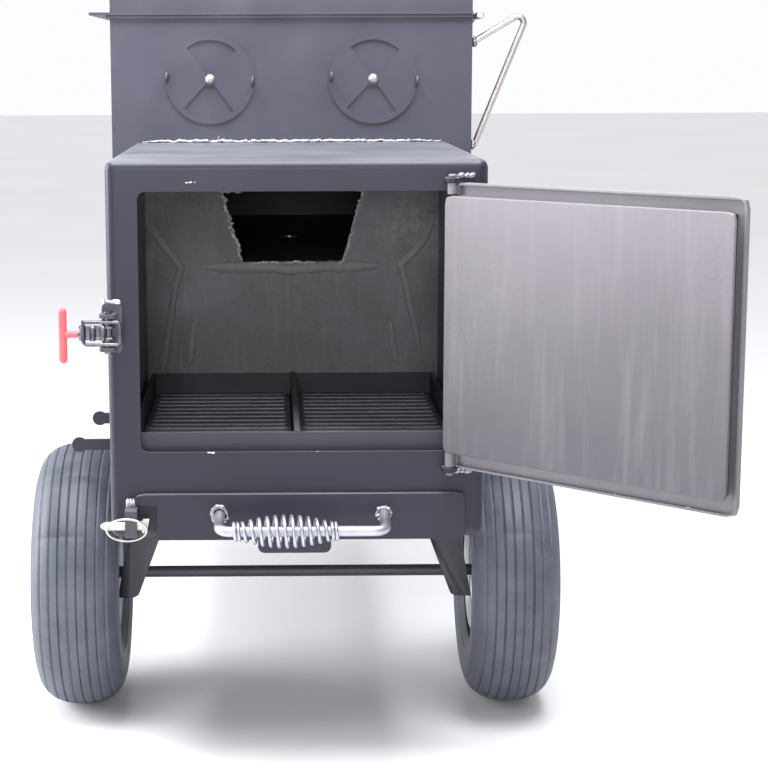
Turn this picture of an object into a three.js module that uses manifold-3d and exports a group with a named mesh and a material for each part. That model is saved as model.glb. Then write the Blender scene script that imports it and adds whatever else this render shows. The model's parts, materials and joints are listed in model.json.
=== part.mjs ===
// Offset smoker: an insulated firebox with door, ash drawer and grate, joined to an octagonal cooking
// chamber with a hinged lid, on two pneumatic wheels and two fixed legs.
// Units are millimetres, +Z is up, +Y runs from the firebox front to the chimney end.
// The design works from the firebox front face (Y 0), its centre (X 0) and the ground (Z 0). The last
// lines move the whole group so that its origin is the middle of its footprint on the ground.
import * as THREE from 'three';
import { mergeVertices } from 'three/addons/utils/BufferGeometryUtils.js';
import Module from 'manifold-3d';

const wasm = await Module();
wasm.setup();

// ---------------------------------------------------------------- driving dimensions
const GAP = 0.3;                 // running or weld gap kept between neighbouring solids
const SHEET = 3;                 // casing sheet
const FIREBOX = { w: 457, z0: 320.3, z1: 782.1, depth: 475, bend: 12 };
const WALL = 17.5;               // insulated wall, casing to inner face
const LINER_SHEET = 2.5;
const OPENING = { w: 380, z0: 428.6, z1: 744.3, corner: 10 };
const PORT = { z0: 611, z1: 713, half0: 71.5, half1: 101 };
const CHAMBER = {
  halfW: 257, halfFlat: 150, z0: 603, zLow: 731, seam: 961, zHigh: 1080, z1: 1208, length: 914,
};
const CHAMBER_END = FIREBOX.depth + CHAMBER.length;
const END_WALL = 4;
const GRATE = { z0: 409, barTop: 423, railTop: 450, halfW: 204, y0: 14, y1: 460, pitch: 28.5, bar: 12 };
const DOOR = { hingeX: 184, hingeY: -13.1, open: 135.6, u0: 2.9, u1: 391.5, z0: 411.3, z1: 754.9 };
const DOOR_LINER = { u0: -2.2, u1: 386.5, z0: 431.2, z1: 739.8, face: -12.1, back: 6.6 };
const DOOR_PIN = { r: 3, headR: 5, way: 3.3, boss: 9 };
const DRAWER = {
  x0: -198.3, x1: 204, z0: 320.5, z1: 378, proud: 8, length: 455, halfBox: 164, boxTop: 366,
  notch: 25.8, notchTop: 364,
};
const DRAWER_TAB = { x0: -48.6, x1: 40.6, z0: 305, z1: 336, thick: 4, corner: 8 };
const HANDLE = { rod: 6.35, coil: 2.1, turns: 15, small: 12, large: 20.5, standOff: 53, bend: 14 };
const DRAWER_HANDLE = { x0: -95, x1: 105, coilX: -78, coilLength: 126, footZ: 353.5, barZ: 344.5 };
const LYNCH = {
  y: -16, z: 341, r: 5.4, x0: -239.4, x1: -190, tabX0: -209.3, tabX1: -194.5, tabZ0: 328, tabZ1: 363,
};
const LYNCH_RING = { x: -207.4, y: -24.8, z: 338, halfX: 24, halfY: 7.5, halfZ: 15.5, wire: 1.3 };
const LATCH = { x: -226, y: -14, z: 578, bailX: -255, bailY: -21.5, wire: 2.2, gripX: -280, hookX: -211 };
const WHEEL = { r: 184, width: 119, rimR: 85, track: 594.8, axleY: 349.3, axleR: 8 };
const DAMPER = {
  r: 63, vent: 55, inner: 10, half: 39.5, plate: 3, ear: 28, longEar: 43, boltR: 7.3, shankR: 3.8,
};
const END_DAMPER = { x: 116, z: 871.6, turn: 3 };
const SIDE_DAMPER = { y: 132, z: 430, turn: 5 };
const LID_HINGE = {
  x: 267.5, z: 959.5, r: 5, knuckleR: 9, knuckle: 60, tubY: [620, 1180], lidY: [680.5, 1119.5],
};
const LID_STOP = { y: 492, x: 262.5, lowZ: 775.5, bendX: 341, bendZ: 970.5, highZ: 924, r: 4.5 };
const LID_HANDLE = { y0: 832, y1: 1032, z: 1040, out: 55, coilY: 862, coilLength: 140 };
const THERMO = { y: 932, x: -203.5, z: 1144, r: 40, probe: 3 };
const COOKING = { halfW: 250, z0: 920.3, z1: 928, rows: 11, near: [486, 931], far: [933, 1378] };
const DRAIN = { x: 0, y: 930, z: 540, bore: 10, pipeR: 13.7 };
const CHIMNEY = { r: 51, wall: 3, y: CHAMBER_END + 65, half: 60, z0: 830, z1: 950, top: 1500, pivot: 57 };
const LEG = { x: 190, y: 1330, half: 19, footHalf: 45, footTop: 6 };
const SHELF = { y0: 374.5, deckY: 560, z: 250, halfDeck: 190, rail: 13 };
const TOW = { halfX: 150, reach: 150, z: 720, r: 10, bend: 30 };

const radians = THREE.MathUtils.degToRad;
const smoker = new THREE.Group();

// ---------------------------------------------------------------- finishes
const finish = (color, roughness, metalness) => () =>
  new THREE.MeshStandardMaterial({ color, roughness, metalness });
const paint = finish(0x4b4a56, 0.5, 0.35);
const bareSteel = finish(0x6d6a6b, 0.7, 0.6);
const castIron = finish(0x3b3a40, 0.6, 0.5);
const zinc = finish(0xc9c9cc, 0.35, 0.9);
const rubber = finish(0x3a3f4a, 0.85, 0.0);
const redVinyl = finish(0xe8525f, 0.4, 0.0);
const wool = finish(0xb8ad8a, 0.95, 0.0);

// ---------------------------------------------------------------- solids and booleans
function weld(geometry) {
  const plain = geometry.index ? geometry.toNonIndexed() : geometry.clone();
  plain.deleteAttribute('normal');
  plain.deleteAttribute('uv');
  return mergeVertices(plain, 1e-4);
}

function solid(geometry) {
  const welded = weld(geometry);
  const vertProperties = new Float32Array(welded.attributes.position.array);
  const triVerts = new Uint32Array(welded.index.array);
  return new wasm.Manifold(new wasm.Mesh({ numProp: 3, vertProperties, triVerts }));
}

function surface(manifold) {
  const mesh = manifold.getMesh();
  const geometry = new THREE.BufferGeometry();
  geometry.setAttribute('position', new THREE.BufferAttribute(mesh.vertProperties.slice(), 3));
  geometry.setIndex(new THREE.BufferAttribute(mesh.triVerts.slice(), 1));
  return geometry;
}

function cut(body, ...tools) {
  let result = solid(body);
  for (const tool of tools) result = result.subtract(solid(tool));
  return surface(result);
}

function join(...parts) {
  let result = solid(parts[0]);
  for (const part of parts.slice(1)) result = result.add(solid(part));
  return surface(result);
}

function box(x0, x1, y0, y1, z0, z1) {
  const geometry = new THREE.BoxGeometry(x1 - x0, y1 - y0, z1 - z0);
  return geometry.translate((x0 + x1) / 2, (y0 + y1) / 2, (z0 + z1) / 2);
}

function outline(points) {
  return new THREE.Shape(points.map(([a, b]) => new THREE.Vector2(a, b)));
}

function roundedRect(a0, a1, b0, b1, r) {
  const shape = new THREE.Shape();
  shape.moveTo(a0 + r, b0);
  shape.lineTo(a1 - r, b0);
  shape.absarc(a1 - r, b0 + r, r, -Math.PI / 2, 0);
  shape.lineTo(a1, b1 - r);
  shape.absarc(a1 - r, b1 - r, r, 0, Math.PI / 2);
  shape.lineTo(a0 + r, b1);
  shape.absarc(a0 + r, b1 - r, r, Math.PI / 2, Math.PI);
  shape.lineTo(a0, b0 + r);
  shape.absarc(a0 + r, b0 + r, r, Math.PI, 1.5 * Math.PI);
  return shape;
}

// A shape drawn in (X, Z), given thickness from y0 to y1.
function alongY(shape, y0, y1, curveSegments = 2) {
  const geometry = new THREE.ExtrudeGeometry(shape, { depth: y1 - y0, bevelEnabled: false, curveSegments });
  return geometry.rotateX(Math.PI / 2).translate(0, y1, 0);
}

// A shape drawn in (X, Y), given thickness from z0 to z1.
function alongZ(shape, z0, z1, curveSegments = 2) {
  const geometry = new THREE.ExtrudeGeometry(shape, { depth: z1 - z0, bevelEnabled: false, curveSegments });
  return geometry.translate(0, 0, z0);
}

// A shape drawn in (Y, Z), given thickness from x0 to x1.
function alongX(shape, x0, x1, curveSegments = 2) {
  const geometry = new THREE.ExtrudeGeometry(shape, { depth: x1 - x0, bevelEnabled: false, curveSegments });
  return geometry.rotateX(Math.PI / 2).rotateZ(Math.PI / 2).translate(x0, 0, 0);
}

function cylinder(axis, r, start, end, a, b, sides = 20) {
  const geometry = new THREE.CylinderGeometry(r, r, end - start, sides).translate(0, (start + end) / 2, 0);
  if (axis === 'x') return geometry.rotateZ(-Math.PI / 2).translate(0, a, b);
  if (axis === 'y') return geometry.translate(a, 0, b);
  return geometry.rotateX(Math.PI / 2).translate(a, b, 0);
}

// A turned profile of [radius, height] points, lathed about the Y axis.
function turned(points, sides = 24) {
  return new THREE.LatheGeometry(points.map(([r, h]) => new THREE.Vector2(r, h)), sides);
}

// A round bar that follows straight runs joined by bends of one radius.
function bentRod(points, r, bend, sides = 10, steps = 6) {
  const corners = points.map((p) => new THREE.Vector3(...p));
  const path = new THREE.CurvePath();
  let from = corners[0];
  for (let i = 1; i < corners.length - 1; i += 1) {
    const back = corners[i - 1].clone().sub(corners[i]).normalize();
    const ahead = corners[i + 1].clone().sub(corners[i]).normalize();
    const trim = bend / Math.tan(back.angleTo(ahead) / 2);
    const enter = corners[i].clone().addScaledVector(back, trim);
    const leave = corners[i].clone().addScaledVector(ahead, trim);
    path.add(new THREE.LineCurve3(from, enter));
    path.add(new THREE.QuadraticBezierCurve3(enter, corners[i], leave));
    from = leave;
  }
  path.add(new THREE.LineCurve3(from, corners[corners.length - 1]));
  const samples = [];
  for (const piece of path.curves) {
    const count = piece.isLineCurve3 ? 1 : steps;
    for (let k = 0; k < count; k += 1) samples.push(piece.getPoint(k / count));
  }
  samples.push(corners[corners.length - 1]);
  return sweep(samples, r, sides);
}

// A route of given points. A sweep takes one step at each of them.
class Route extends THREE.Curve {
  constructor(points) {
    super();
    this.points = points;
  }

  getPoint(t, target = new THREE.Vector3()) {
    return target.copy(this.points[Math.round(t * (this.points.length - 1))]);
  }

  getPointAt(u, target) {
    return this.getPoint(u, target);
  }

  getTangentAt(u, target = new THREE.Vector3()) {
    const last = this.points.length - 1;
    const i = Math.round(u * last);
    return target.copy(this.points[Math.min(i + 1, last)]).sub(this.points[Math.max(i - 1, 0)]).normalize();
  }
}

function sweep(points, r, sides) {
  const section = new THREE.Shape();
  section.absarc(0, 0, r, 0, 2 * Math.PI);
  return new THREE.ExtrudeGeometry(section, {
    steps: points.length - 1, extrudePath: new Route(points), curveSegments: sides / 2,
  });
}

// A circular fan between two radii, centred on an angle in degrees.
function sector(a, b, inner, outer, centre, half) {
  const shape = new THREE.Shape();
  const start = radians(centre - half);
  const end = radians(centre + half);
  shape.absarc(a, b, outer, start, end);
  shape.absarc(a, b, inner, end, start, true);
  return shape;
}

function place(name, geometry, material, parent = smoker) {
  const mesh = new THREE.Mesh(geometry, material());
  mesh.name = name;
  parent.add(mesh);
  return mesh;
}

// ---------------------------------------------------------------- firebox
const halfFirebox = FIREBOX.w / 2;
const innerHalf = halfFirebox - WALL;
const roofInner = FIREBOX.z1 - WALL;
const backPlateY = FIREBOX.depth - 4.7;
const fireboxFloor = FIREBOX.z0 + SHEET;

function bentBox(halfW, z0, z1, y0, y1, r) {
  const shape = roundedRect(-halfW + r, halfW - r, z0 + r, z1 - r, 0.1);
  const geometry = new THREE.ExtrudeGeometry(shape, {
    depth: y1 - y0, bevelThickness: r, bevelSize: r, bevelSegments: 3, curveSegments: 2,
  });
  const rounded = geometry.rotateX(Math.PI / 2).translate(0, y1 + r, 0);
  return surface(solid(rounded).intersect(solid(box(-halfW - 1, halfW + 1, y0, y1, z0 - 1, z1 + 1))));
}

function sideVents(x0, x1) {
  return [0, 180].map((centre) => alongX(
    sector(SIDE_DAMPER.y, SIDE_DAMPER.z, DAMPER.inner, DAMPER.vent, centre, DAMPER.half), x0, x1, 4));
}

function portHole(y0, y1) {
  const { z0, z1, half0, half1 } = PORT;
  return alongY(outline([[-half0, z0], [half0, z0], [half1, z1], [-half1, z1]]), y0, y1);
}

function fireboxShell() {
  const outer = bentBox(halfFirebox, FIREBOX.z0, FIREBOX.z1, 0, backPlateY - GAP, FIREBOX.bend);
  const inner = bentBox(halfFirebox - SHEET, fireboxFloor, FIREBOX.z1 - SHEET, SHEET, FIREBOX.depth,
    FIREBOX.bend - SHEET);
  const { w, z0, z1, corner } = OPENING;
  const mouth = alongY(roundedRect(-w / 2, w / 2, z0, z1, corner), -1, 20);
  const halfMouth = DRAWER.halfBox + SHEET;
  const drawerMouth = box(-halfMouth, halfMouth, -1, 20, fireboxFloor, DRAWER.boxTop + SHEET);
  const bolt = cylinder('x', DAMPER.shankR + GAP, -300, -200, SIDE_DAMPER.y, SIDE_DAMPER.z, 12);
  return cut(outer, inner, mouth, drawerMouth, bolt, ...sideVents(-300, -200));
}

// The liner and the wool lie inside the shell as two nested channels, open below and at both ends.
function channel(halfOut, topOut, halfIn, topIn, y0, y1, base = fireboxFloor + GAP) {
  const shape = outline([[-halfOut, base], [-halfIn, base], [-halfIn, topIn], [halfIn, topIn],
    [halfIn, base], [halfOut, base], [halfOut, topOut], [-halfOut, topOut]]);
  return alongY(shape, y0, y1);
}

function fireboxLiner() {
  const y0 = 13;
  const y1 = backPlateY - GAP;
  const walls = channel(innerHalf + LINER_SHEET, roofInner + LINER_SHEET, innerHalf, roofInner, y0, y1);
  const ledges = [-1, 1].map((side) => box(
    Math.min(side * innerHalf * 1.005, side * 188), Math.max(side * innerHalf * 1.005, side * 188),
    y0 + 1, y1 - 1, GRATE.z0 - 4.3, GRATE.z0 - GAP));
  const draught = cylinder('x', DAMPER.vent + 1, -250, -200, SIDE_DAMPER.y, SIDE_DAMPER.z, 32);
  return cut(join(walls, ...ledges), surface(solid(draught).subtract(
    solid(box(-250, -200, 0, 400, GRATE.z0 - 4.3, GRATE.z0 + 16)))));
}

function fireboxWool() {
  const inside = innerHalf + LINER_SHEET + GAP;
  const outside = halfFirebox - SHEET - 1;
  const walls = channel(outside, FIREBOX.z1 - SHEET - 6, inside, roofInner + LINER_SHEET + GAP, 13, 469,
    fireboxFloor + FIREBOX.bend);
  const draught = cylinder('x', DAMPER.vent + 3, -250, -200, SIDE_DAMPER.y, SIDE_DAMPER.z, 32);
  return cut(walls, draught);
}

place('firebox_shell', fireboxShell(), paint);
place('firebox_liner', fireboxLiner(), bareSteel);
place('firebox_insulation', fireboxWool(), wool);
const backPlate = roundedRect(-halfFirebox, halfFirebox, FIREBOX.z0, FIREBOX.z1, FIREBOX.bend);
place('firebox_back_plate',
  cut(alongY(backPlate, backPlateY, FIREBOX.depth - GAP), portHole(460, 480)), bareSteel);

// ---------------------------------------------------------------- fire grate
function grateFrame() {
  const { z0, railTop, halfW, y0, y1 } = GRATE;
  const rail = 5;
  const ring = cut(box(-halfW, halfW, y0, y1, z0, railTop),
    box(-halfW + rail, halfW - rail, y0 + rail, y1 - rail, z0 - 1, railTop + 1));
  const web = box(-3.5, 3.5, y0 + 1, y1 - 1, z0, railTop + 2);
  const foot = box(-16, 16, y0 + 1, y1 - 1, z0 - 4.7, z0 - GAP);
  const heel = box(-3.5, 3.5, y0 + 1, y1 - 1, z0 - 1, z0 + 1);
  return join(ring, web, foot, heel);
}

function gratePanel(side) {
  const { z0, barTop, halfW, y0, y1, pitch, bar } = GRATE;
  const near = 4.3;
  const far = halfW - 5.5;
  const across = (a, b) => [Math.min(side * a, side * b), Math.max(side * a, side * b)];
  const gaps = [];
  for (let y = y0 + 6 + bar; y + pitch - bar < y1 - 6; y += pitch) {
    gaps.push(box(...across(near + 8, far - 10), y, y + pitch - bar, z0 - 9, barTop + 9));
  }
  return cut(box(...across(near, far), y0 + 6, y1 - 6, z0, barTop), ...gaps);
}

place('fire_grate_frame', grateFrame(), castIron);
place('fire_grate_panel_left', gratePanel(-1), castIron);
place('fire_grate_panel_right', gratePanel(1), castIron);

// ---------------------------------------------------------------- firebox door
// The door is drawn closed, about its hinge axis, and turned to its open rest position.
const door = new THREE.Group();
door.position.set(DOOR.hingeX, DOOR.hingeY, 0);
door.rotation.z = radians(DOOR.open);
smoker.add(door);

function doorPan() {
  const { u0, u1, z0, z1 } = DOOR;
  const back = DOOR_LINER.back + GAP;
  const tray = alongY(roundedRect(-u1, -u0, z0, z1, 10), -back - SHEET, -back);
  const rim = cut(alongY(roundedRect(-u1, -u0, z0, z1, 10), -back - 0.5, -back + 5),
    alongY(roundedRect(-u1 + SHEET, -u0 - SHEET, z0 + SHEET, z1 - SHEET, 7), -back - 10, 20));
  const clear = box(-DOOR_LINER.u1 - GAP, 10, -back + 0.001, 20, DOOR_LINER.z0 - GAP, DOOR_LINER.z1 + GAP);
  const knuckles = [[z0 + 0.3, DOOR_LINER.z0 - 1], [DOOR_LINER.z1 + 1, z1 - 0.3]].map(([low, high]) =>
    join(cylinder('z', 6, low, high, 0, 0, 20), box(-9, 0, -back - 1, -3.5, low, high)));
  const pinWay = cylinder('z', DOOR_PIN.way, 0, 1000, 0, 0, 16);
  return cut(join(tray, cut(rim, clear), ...knuckles), pinWay);
}

function doorLiner() {
  const { u0, u1, z0, z1, face, back } = DOOR_LINER;
  return alongY(roundedRect(-u1, -u0, z0, z1, 8), -back, -face, 3);
}

function doorKeeper() {
  const skin = -DOOR_LINER.back - GAP - 3 - GAP;
  const claw = outline([[-378, skin], [-338, skin], [-338, skin - 4], [-366, skin - 4], [-366, skin - 10],
    [-360, skin - 10], [-360, skin - 14], [-371, skin - 14], [-378, skin - 8]]);
  return alongZ(claw, 566, 590);
}

place('door_pan', doorPan(), paint, door);
place('door_liner', doorLiner(), paint, door);
place('door_keeper', doorKeeper(), paint, door);

function hingeTab(z0, z1) {
  const { hingeX, hingeY } = DOOR;
  const shape = new THREE.Shape();
  shape.moveTo(hingeX - DOOR_PIN.boss, -GAP);
  shape.lineTo(hingeX - DOOR_PIN.boss, hingeY);
  shape.absarc(hingeX, hingeY, DOOR_PIN.boss, Math.PI, 2 * Math.PI);
  shape.lineTo(hingeX + DOOR_PIN.boss, -GAP);
  shape.closePath();
  return cut(alongZ(shape, z0, z1, 6), cylinder('z', DOOR_PIN.way, 0, 1000, hingeX, hingeY, 16));
}

function hingePin(head, tip) {
  const towards = Math.sign(tip - head);
  const profile = [[0, head], [DOOR_PIN.headR - 0.4, head], [DOOR_PIN.headR, head + towards * 2.5],
    [DOOR_PIN.r, head + towards * 3.7], [DOOR_PIN.r, tip], [0, tip]];
  const rising = towards > 0 ? profile : profile.reverse();
  return turned(rising, 16).rotateX(Math.PI / 2).translate(DOOR.hingeX, DOOR.hingeY, 0);
}

place('hinge_tab_upper', hingeTab(DOOR.z1 + 0.5, DOOR.z1 + 5.5), paint);
place('hinge_tab_lower', hingeTab(DOOR.z0 - 5.5, DOOR.z0 - 0.5), paint);
place('hinge_pin_upper', hingePin(DOOR.z1 + 9.7, DOOR_LINER.z1 + 2), zinc);
place('hinge_pin_lower', hingePin(DOOR.z0 - 9.7, DOOR_LINER.z0 - 2), zinc);

// ---------------------------------------------------------------- ash drawer
function drawerBox() {
  const { halfBox, length, boxTop } = DRAWER;
  const z0 = fireboxFloor + 2 * GAP;
  const wall = 2;
  return cut(box(-halfBox, halfBox, 0, length, z0, boxTop),
    box(-halfBox + wall, halfBox - wall, wall, length - wall, z0 + wall, boxTop + 40));
}

// The plate's lower left corner is cut away round the locking pin.
function drawerFront() {
  const { x0, x1, z0, z1, proud, notch, notchTop } = DRAWER;
  const plate = alongY(roundedRect(x0, x1, z0, z1, 8), -proud - GAP, -GAP);
  return cut(plate, box(x0 - 5, x0 + notch, -20, 5, z0 - 5, notchTop));
}

function springCoil(length, sides = 4, perTurn = 8) {
  const { turns } = HANDLE;
  const samples = [];
  for (let i = 0; i <= turns * perTurn; i += 1) {
    const turn = i / perTurn;
    const middle = Math.min(Math.max((turn - 2) / (turns - 4), 0), 1);
    const swell = Math.sin(Math.PI * middle);
    const r = HANDLE.small - HANDLE.coil + (HANDLE.large - HANDLE.small) * swell;
    const ends = 2 * (HANDLE.coil * 2 + 0.35);
    const x = turn < 2 ? turn * (ends / 2)
      : turn > turns - 2 ? length - (turns - turn) * (ends / 2)
        : ends + (length - 2 * ends) * middle;
    samples.push(new THREE.Vector3(x, r * Math.cos(2 * Math.PI * turn), r * Math.sin(2 * Math.PI * turn)));
  }
  return sweep(samples, HANDLE.coil, sides);
}

const barY = -DRAWER.proud - GAP - HANDLE.standOff;
function drawerHandle() {
  const { x0, x1, footZ, barZ } = DRAWER_HANDLE;
  const y = -DRAWER.proud - GAP - 1.4;
  const corners = [[x0, y, footZ], [x0, barY, barZ], [x1, barY, barZ], [x1, y, footZ]];
  return bentRod(corners, HANDLE.rod, HANDLE.bend, 12);
}

function drawerTab() {
  const { x0, x1, z0, z1, thick, corner } = DRAWER_TAB;
  const back = -DRAWER.proud - 2 * GAP;
  return alongY(roundedRect(x0, x1, z0, z1, corner), back - thick, back);
}

place('drawer_box', drawerBox(), bareSteel);
place('drawer_front', drawerFront(), paint);
place('drawer_tab', drawerTab(), paint);
place('drawer_handle_rod', drawerHandle(), zinc);
const drawerSpring = place('drawer_handle_spring', springCoil(DRAWER_HANDLE.coilLength), zinc);
drawerSpring.position.set(DRAWER_HANDLE.coilX, barY, DRAWER_HANDLE.barZ);

// ---------------------------------------------------------------- drawer lock: tab, lynch pin and ring
function lynchTab() {
  const plate = alongX(roundedRect(-26, -GAP, LYNCH.tabZ0, LYNCH.tabZ1, 3), LYNCH.tabX0, LYNCH.tabX1);
  return cut(plate, cylinder('x', LYNCH.r + GAP, -300, -100, LYNCH.y, LYNCH.z, 16));
}

function lynchPin() {
  const { x0, x1, r, y, z } = LYNCH;
  const shank = turned([[0, x0], [2.6, x0], [r, x0 + 5.6], [r, x1], [0, x1]], 16);
  const lug = roundedRect(x1 - 1.5, x1 + 10, z - 9, z + 9, 2.5);
  return join(shank.rotateZ(-Math.PI / 2).translate(0, y, z), alongY(lug, y - 3, y + 3));
}

// The wire ring is open where its two ends hook into the pin's head.
function lynchRing() {
  const { x, y, z, halfX, halfY, halfZ, wire } = LYNCH_RING;
  const samples = [];
  const steps = 26;
  const openHalf = radians(2);
  for (let i = 0; i <= steps; i += 1) {
    const angle = openHalf + ((2 * Math.PI - 2 * openHalf) * i) / steps;
    const rise = Math.sin(angle);
    samples.push(new THREE.Vector3(x + halfX * Math.cos(angle), y - halfY * rise, z + halfZ * rise));
  }
  return sweep(samples, wire, 6);
}

place('lynch_tab', lynchTab(), paint);
place('lynch_pin', lynchPin(), zinc);
place('lynch_ring', lynchRing(), zinc);

// ---------------------------------------------------------------- door latch, a pull-action toggle clamp
function latchBracket() {
  const plate = alongY(roundedRect(-234, -209.5, 552, 612, 6), -4.3, -GAP);
  const ears = [[556, 560.5], [596, 600.5]].map(([low, high]) =>
    alongZ(roundedRect(-236, -216, -24, -1, 5), low, high));
  const pinWay = cylinder('z', DOOR_PIN.way, 0, 1000, LATCH.x, LATCH.y, 16);
  return cut(join(plate, ...ears), pinWay);
}

function latchLever() {
  const bodyShape = roundedRect(-262, -217, -20, -8.5, 4);
  const lever = join(alongZ(bodyShape, 569, 587), alongZ(roundedRect(-262, -246, -28, -12, 4), 570, 586),
    cylinder('x', 3, -274, -260, LATCH.y, LATCH.z - 2, 12));
  return cut(lever, cylinder('z', DOOR_PIN.way, 0, 1000, LATCH.x, LATCH.y, 16),
    cylinder('z', LATCH.wire + GAP, 0, 1000, LATCH.bailX, LATCH.bailY, 16));
}

function latchGrip() {
  const bar = turned([[0, 541], [2.6, 541.6], [4.4, 543.4], [5, 546], [5, 603], [4.4, 605.6], [2.6, 607.4],
    [0, 608]], 16).rotateX(Math.PI / 2).translate(LATCH.gripX, LATCH.y, 0);
  const neck = turned([[0, -281], [4.4, -281], [4.8, -270], [4, -262.5], [0, -262.5]], 16)
    .rotateZ(-Math.PI / 2).translate(0, LATCH.y, LATCH.z - 2);
  return cut(join(bar, neck), cylinder('x', 3 + GAP, -274 - GAP, -250, LATCH.y, LATCH.z - 2, 12));
}

function latchBail() {
  const { bailX, bailY, hookX, wire } = LATCH;
  const low = LATCH.z - 13.5;
  const high = LATCH.z + 13.5;
  const loop = bentRod([[bailX, bailY, low], [hookX, bailY, low], [hookX, bailY, high], [bailX, bailY, high]],
    wire, 4, 10, 4);
  return join(loop, cylinder('z', wire, low - 2, high + 2, bailX, bailY, 12));
}

function latchPivotPin() {
  const profile = [[0, 552.5], [4.6, 552.5], [4.6, 555.7], [3, 555.7], [3, 600.8], [4.6, 600.8], [4.6, 603.5],
    [0, 603.5]];
  return turned(profile, 16).rotateX(Math.PI / 2).translate(LATCH.x, LATCH.y, 0);
}

place('latch_bracket', latchBracket(), paint);
place('latch_pivot_pin', latchPivotPin(), zinc);
place('latch_lever', latchLever(), zinc);
place('latch_grip', latchGrip(), redVinyl);
place('latch_bail', latchBail(), zinc);

// ---------------------------------------------------------------- dampers
// A disc drawn about its own axis (Y), outer face towards -Y, with two ears bent outwards at its rim, which
// reach out from its back by the given lengths.
function damperDisc(leftReach, rightReach) {
  const { r, plate, vent, inner, half, shankR } = DAMPER;
  const face = new THREE.Shape();
  face.absarc(0, 0, r, 0, 2 * Math.PI);
  const disc = alongY(face, -plate, 0, 16);
  const vents = [90, 270].map((centre) => alongY(sector(0, 0, inner, vent, centre, half), -20, 20, 4));
  const hole = cylinder('y', shankR + GAP, -20, 20, 0, 0, 16);
  const ears = [[-1, leftReach], [1, rightReach]].map(([side, reach]) => {
    const ear = new THREE.Shape();
    ear.moveTo(-1, -7.5);
    ear.lineTo(-1, 7.5);
    ear.lineTo(7 - reach, 7.2);
    ear.absarc(-reach, 0, 9.5, radians(47), radians(313));
    ear.lineTo(7 - reach, -7.2);
    ear.closePath();
    const x = side * (r - 2.5);
    return alongX(ear, x - 1.5, x + 1.5, 4);
  });
  return cut(join(disc, ...ears), ...vents, hole);
}

// The bolt's domed head is outside, its washer and nut are behind the wall.
function damperBolt(wall) {
  const { plate, boltR, shankR } = DAMPER;
  const head = -plate - 2 * GAP;
  return turned([[0, head - 5], [3.5, head - 4.6], [6, head - 3], [boltR, head], [shankR, head],
    [shankR, wall + GAP], [8, wall + GAP], [8, wall + 1.8], [6.5, wall + 1.8], [6.5, wall + 7],
    [0, wall + 7]], 16);
}

const endWallFace = FIREBOX.depth - GAP;
for (const [side, word] of [[-1, 'left'], [1, 'right']]) {
  const disc = place(`end_damper_disc_${word}`, damperDisc(DAMPER.ear, DAMPER.ear), paint);
  disc.position.set(side * END_DAMPER.x, endWallFace, END_DAMPER.z);
  disc.rotation.y = radians(END_DAMPER.turn);
  const bolt = place(`end_damper_bolt_${word}`, damperBolt(END_WALL + GAP), zinc);
  bolt.position.set(side * END_DAMPER.x, endWallFace, END_DAMPER.z);
}

const sideFace = new THREE.Group();
sideFace.position.set(-halfFirebox - GAP, SIDE_DAMPER.y, SIDE_DAMPER.z);
sideFace.rotation.z = -Math.PI / 2;
smoker.add(sideFace);
const sideDisc = place('side_damper_disc', damperDisc(DAMPER.ear, DAMPER.longEar), paint, sideFace);
sideDisc.rotation.y = radians(SIDE_DAMPER.turn);
place('side_damper_bolt', damperBolt(SHEET + GAP), zinc, sideFace);

// ---------------------------------------------------------------- cooking chamber
// How far the ends of a sloping side move when the whole outline is drawn inwards by 1.
const SLOPE = Math.hypot(CHAMBER.halfW - CHAMBER.halfFlat, CHAMBER.zLow - CHAMBER.z0);
const RISE_PER_INSET = (SLOPE - (CHAMBER.zLow - CHAMBER.z0)) / (CHAMBER.halfW - CHAMBER.halfFlat);
const FLAT_PER_INSET = (SLOPE - (CHAMBER.halfW - CHAMBER.halfFlat)) / (CHAMBER.zLow - CHAMBER.z0);

// The octagon's lower part in (X, Z), drawn inwards by an inset, from the flat bottom up to a given height.
function lowerOutline(inset, top) {
  const x = CHAMBER.halfW - inset;
  const low = CHAMBER.zLow + inset * RISE_PER_INSET;
  const flat = CHAMBER.halfFlat - inset * FLAT_PER_INSET;
  const bottom = CHAMBER.z0 + inset;
  return outline([[-x, top], [-x, low], [-flat, bottom], [flat, bottom], [x, low], [x, top]]);
}

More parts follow.
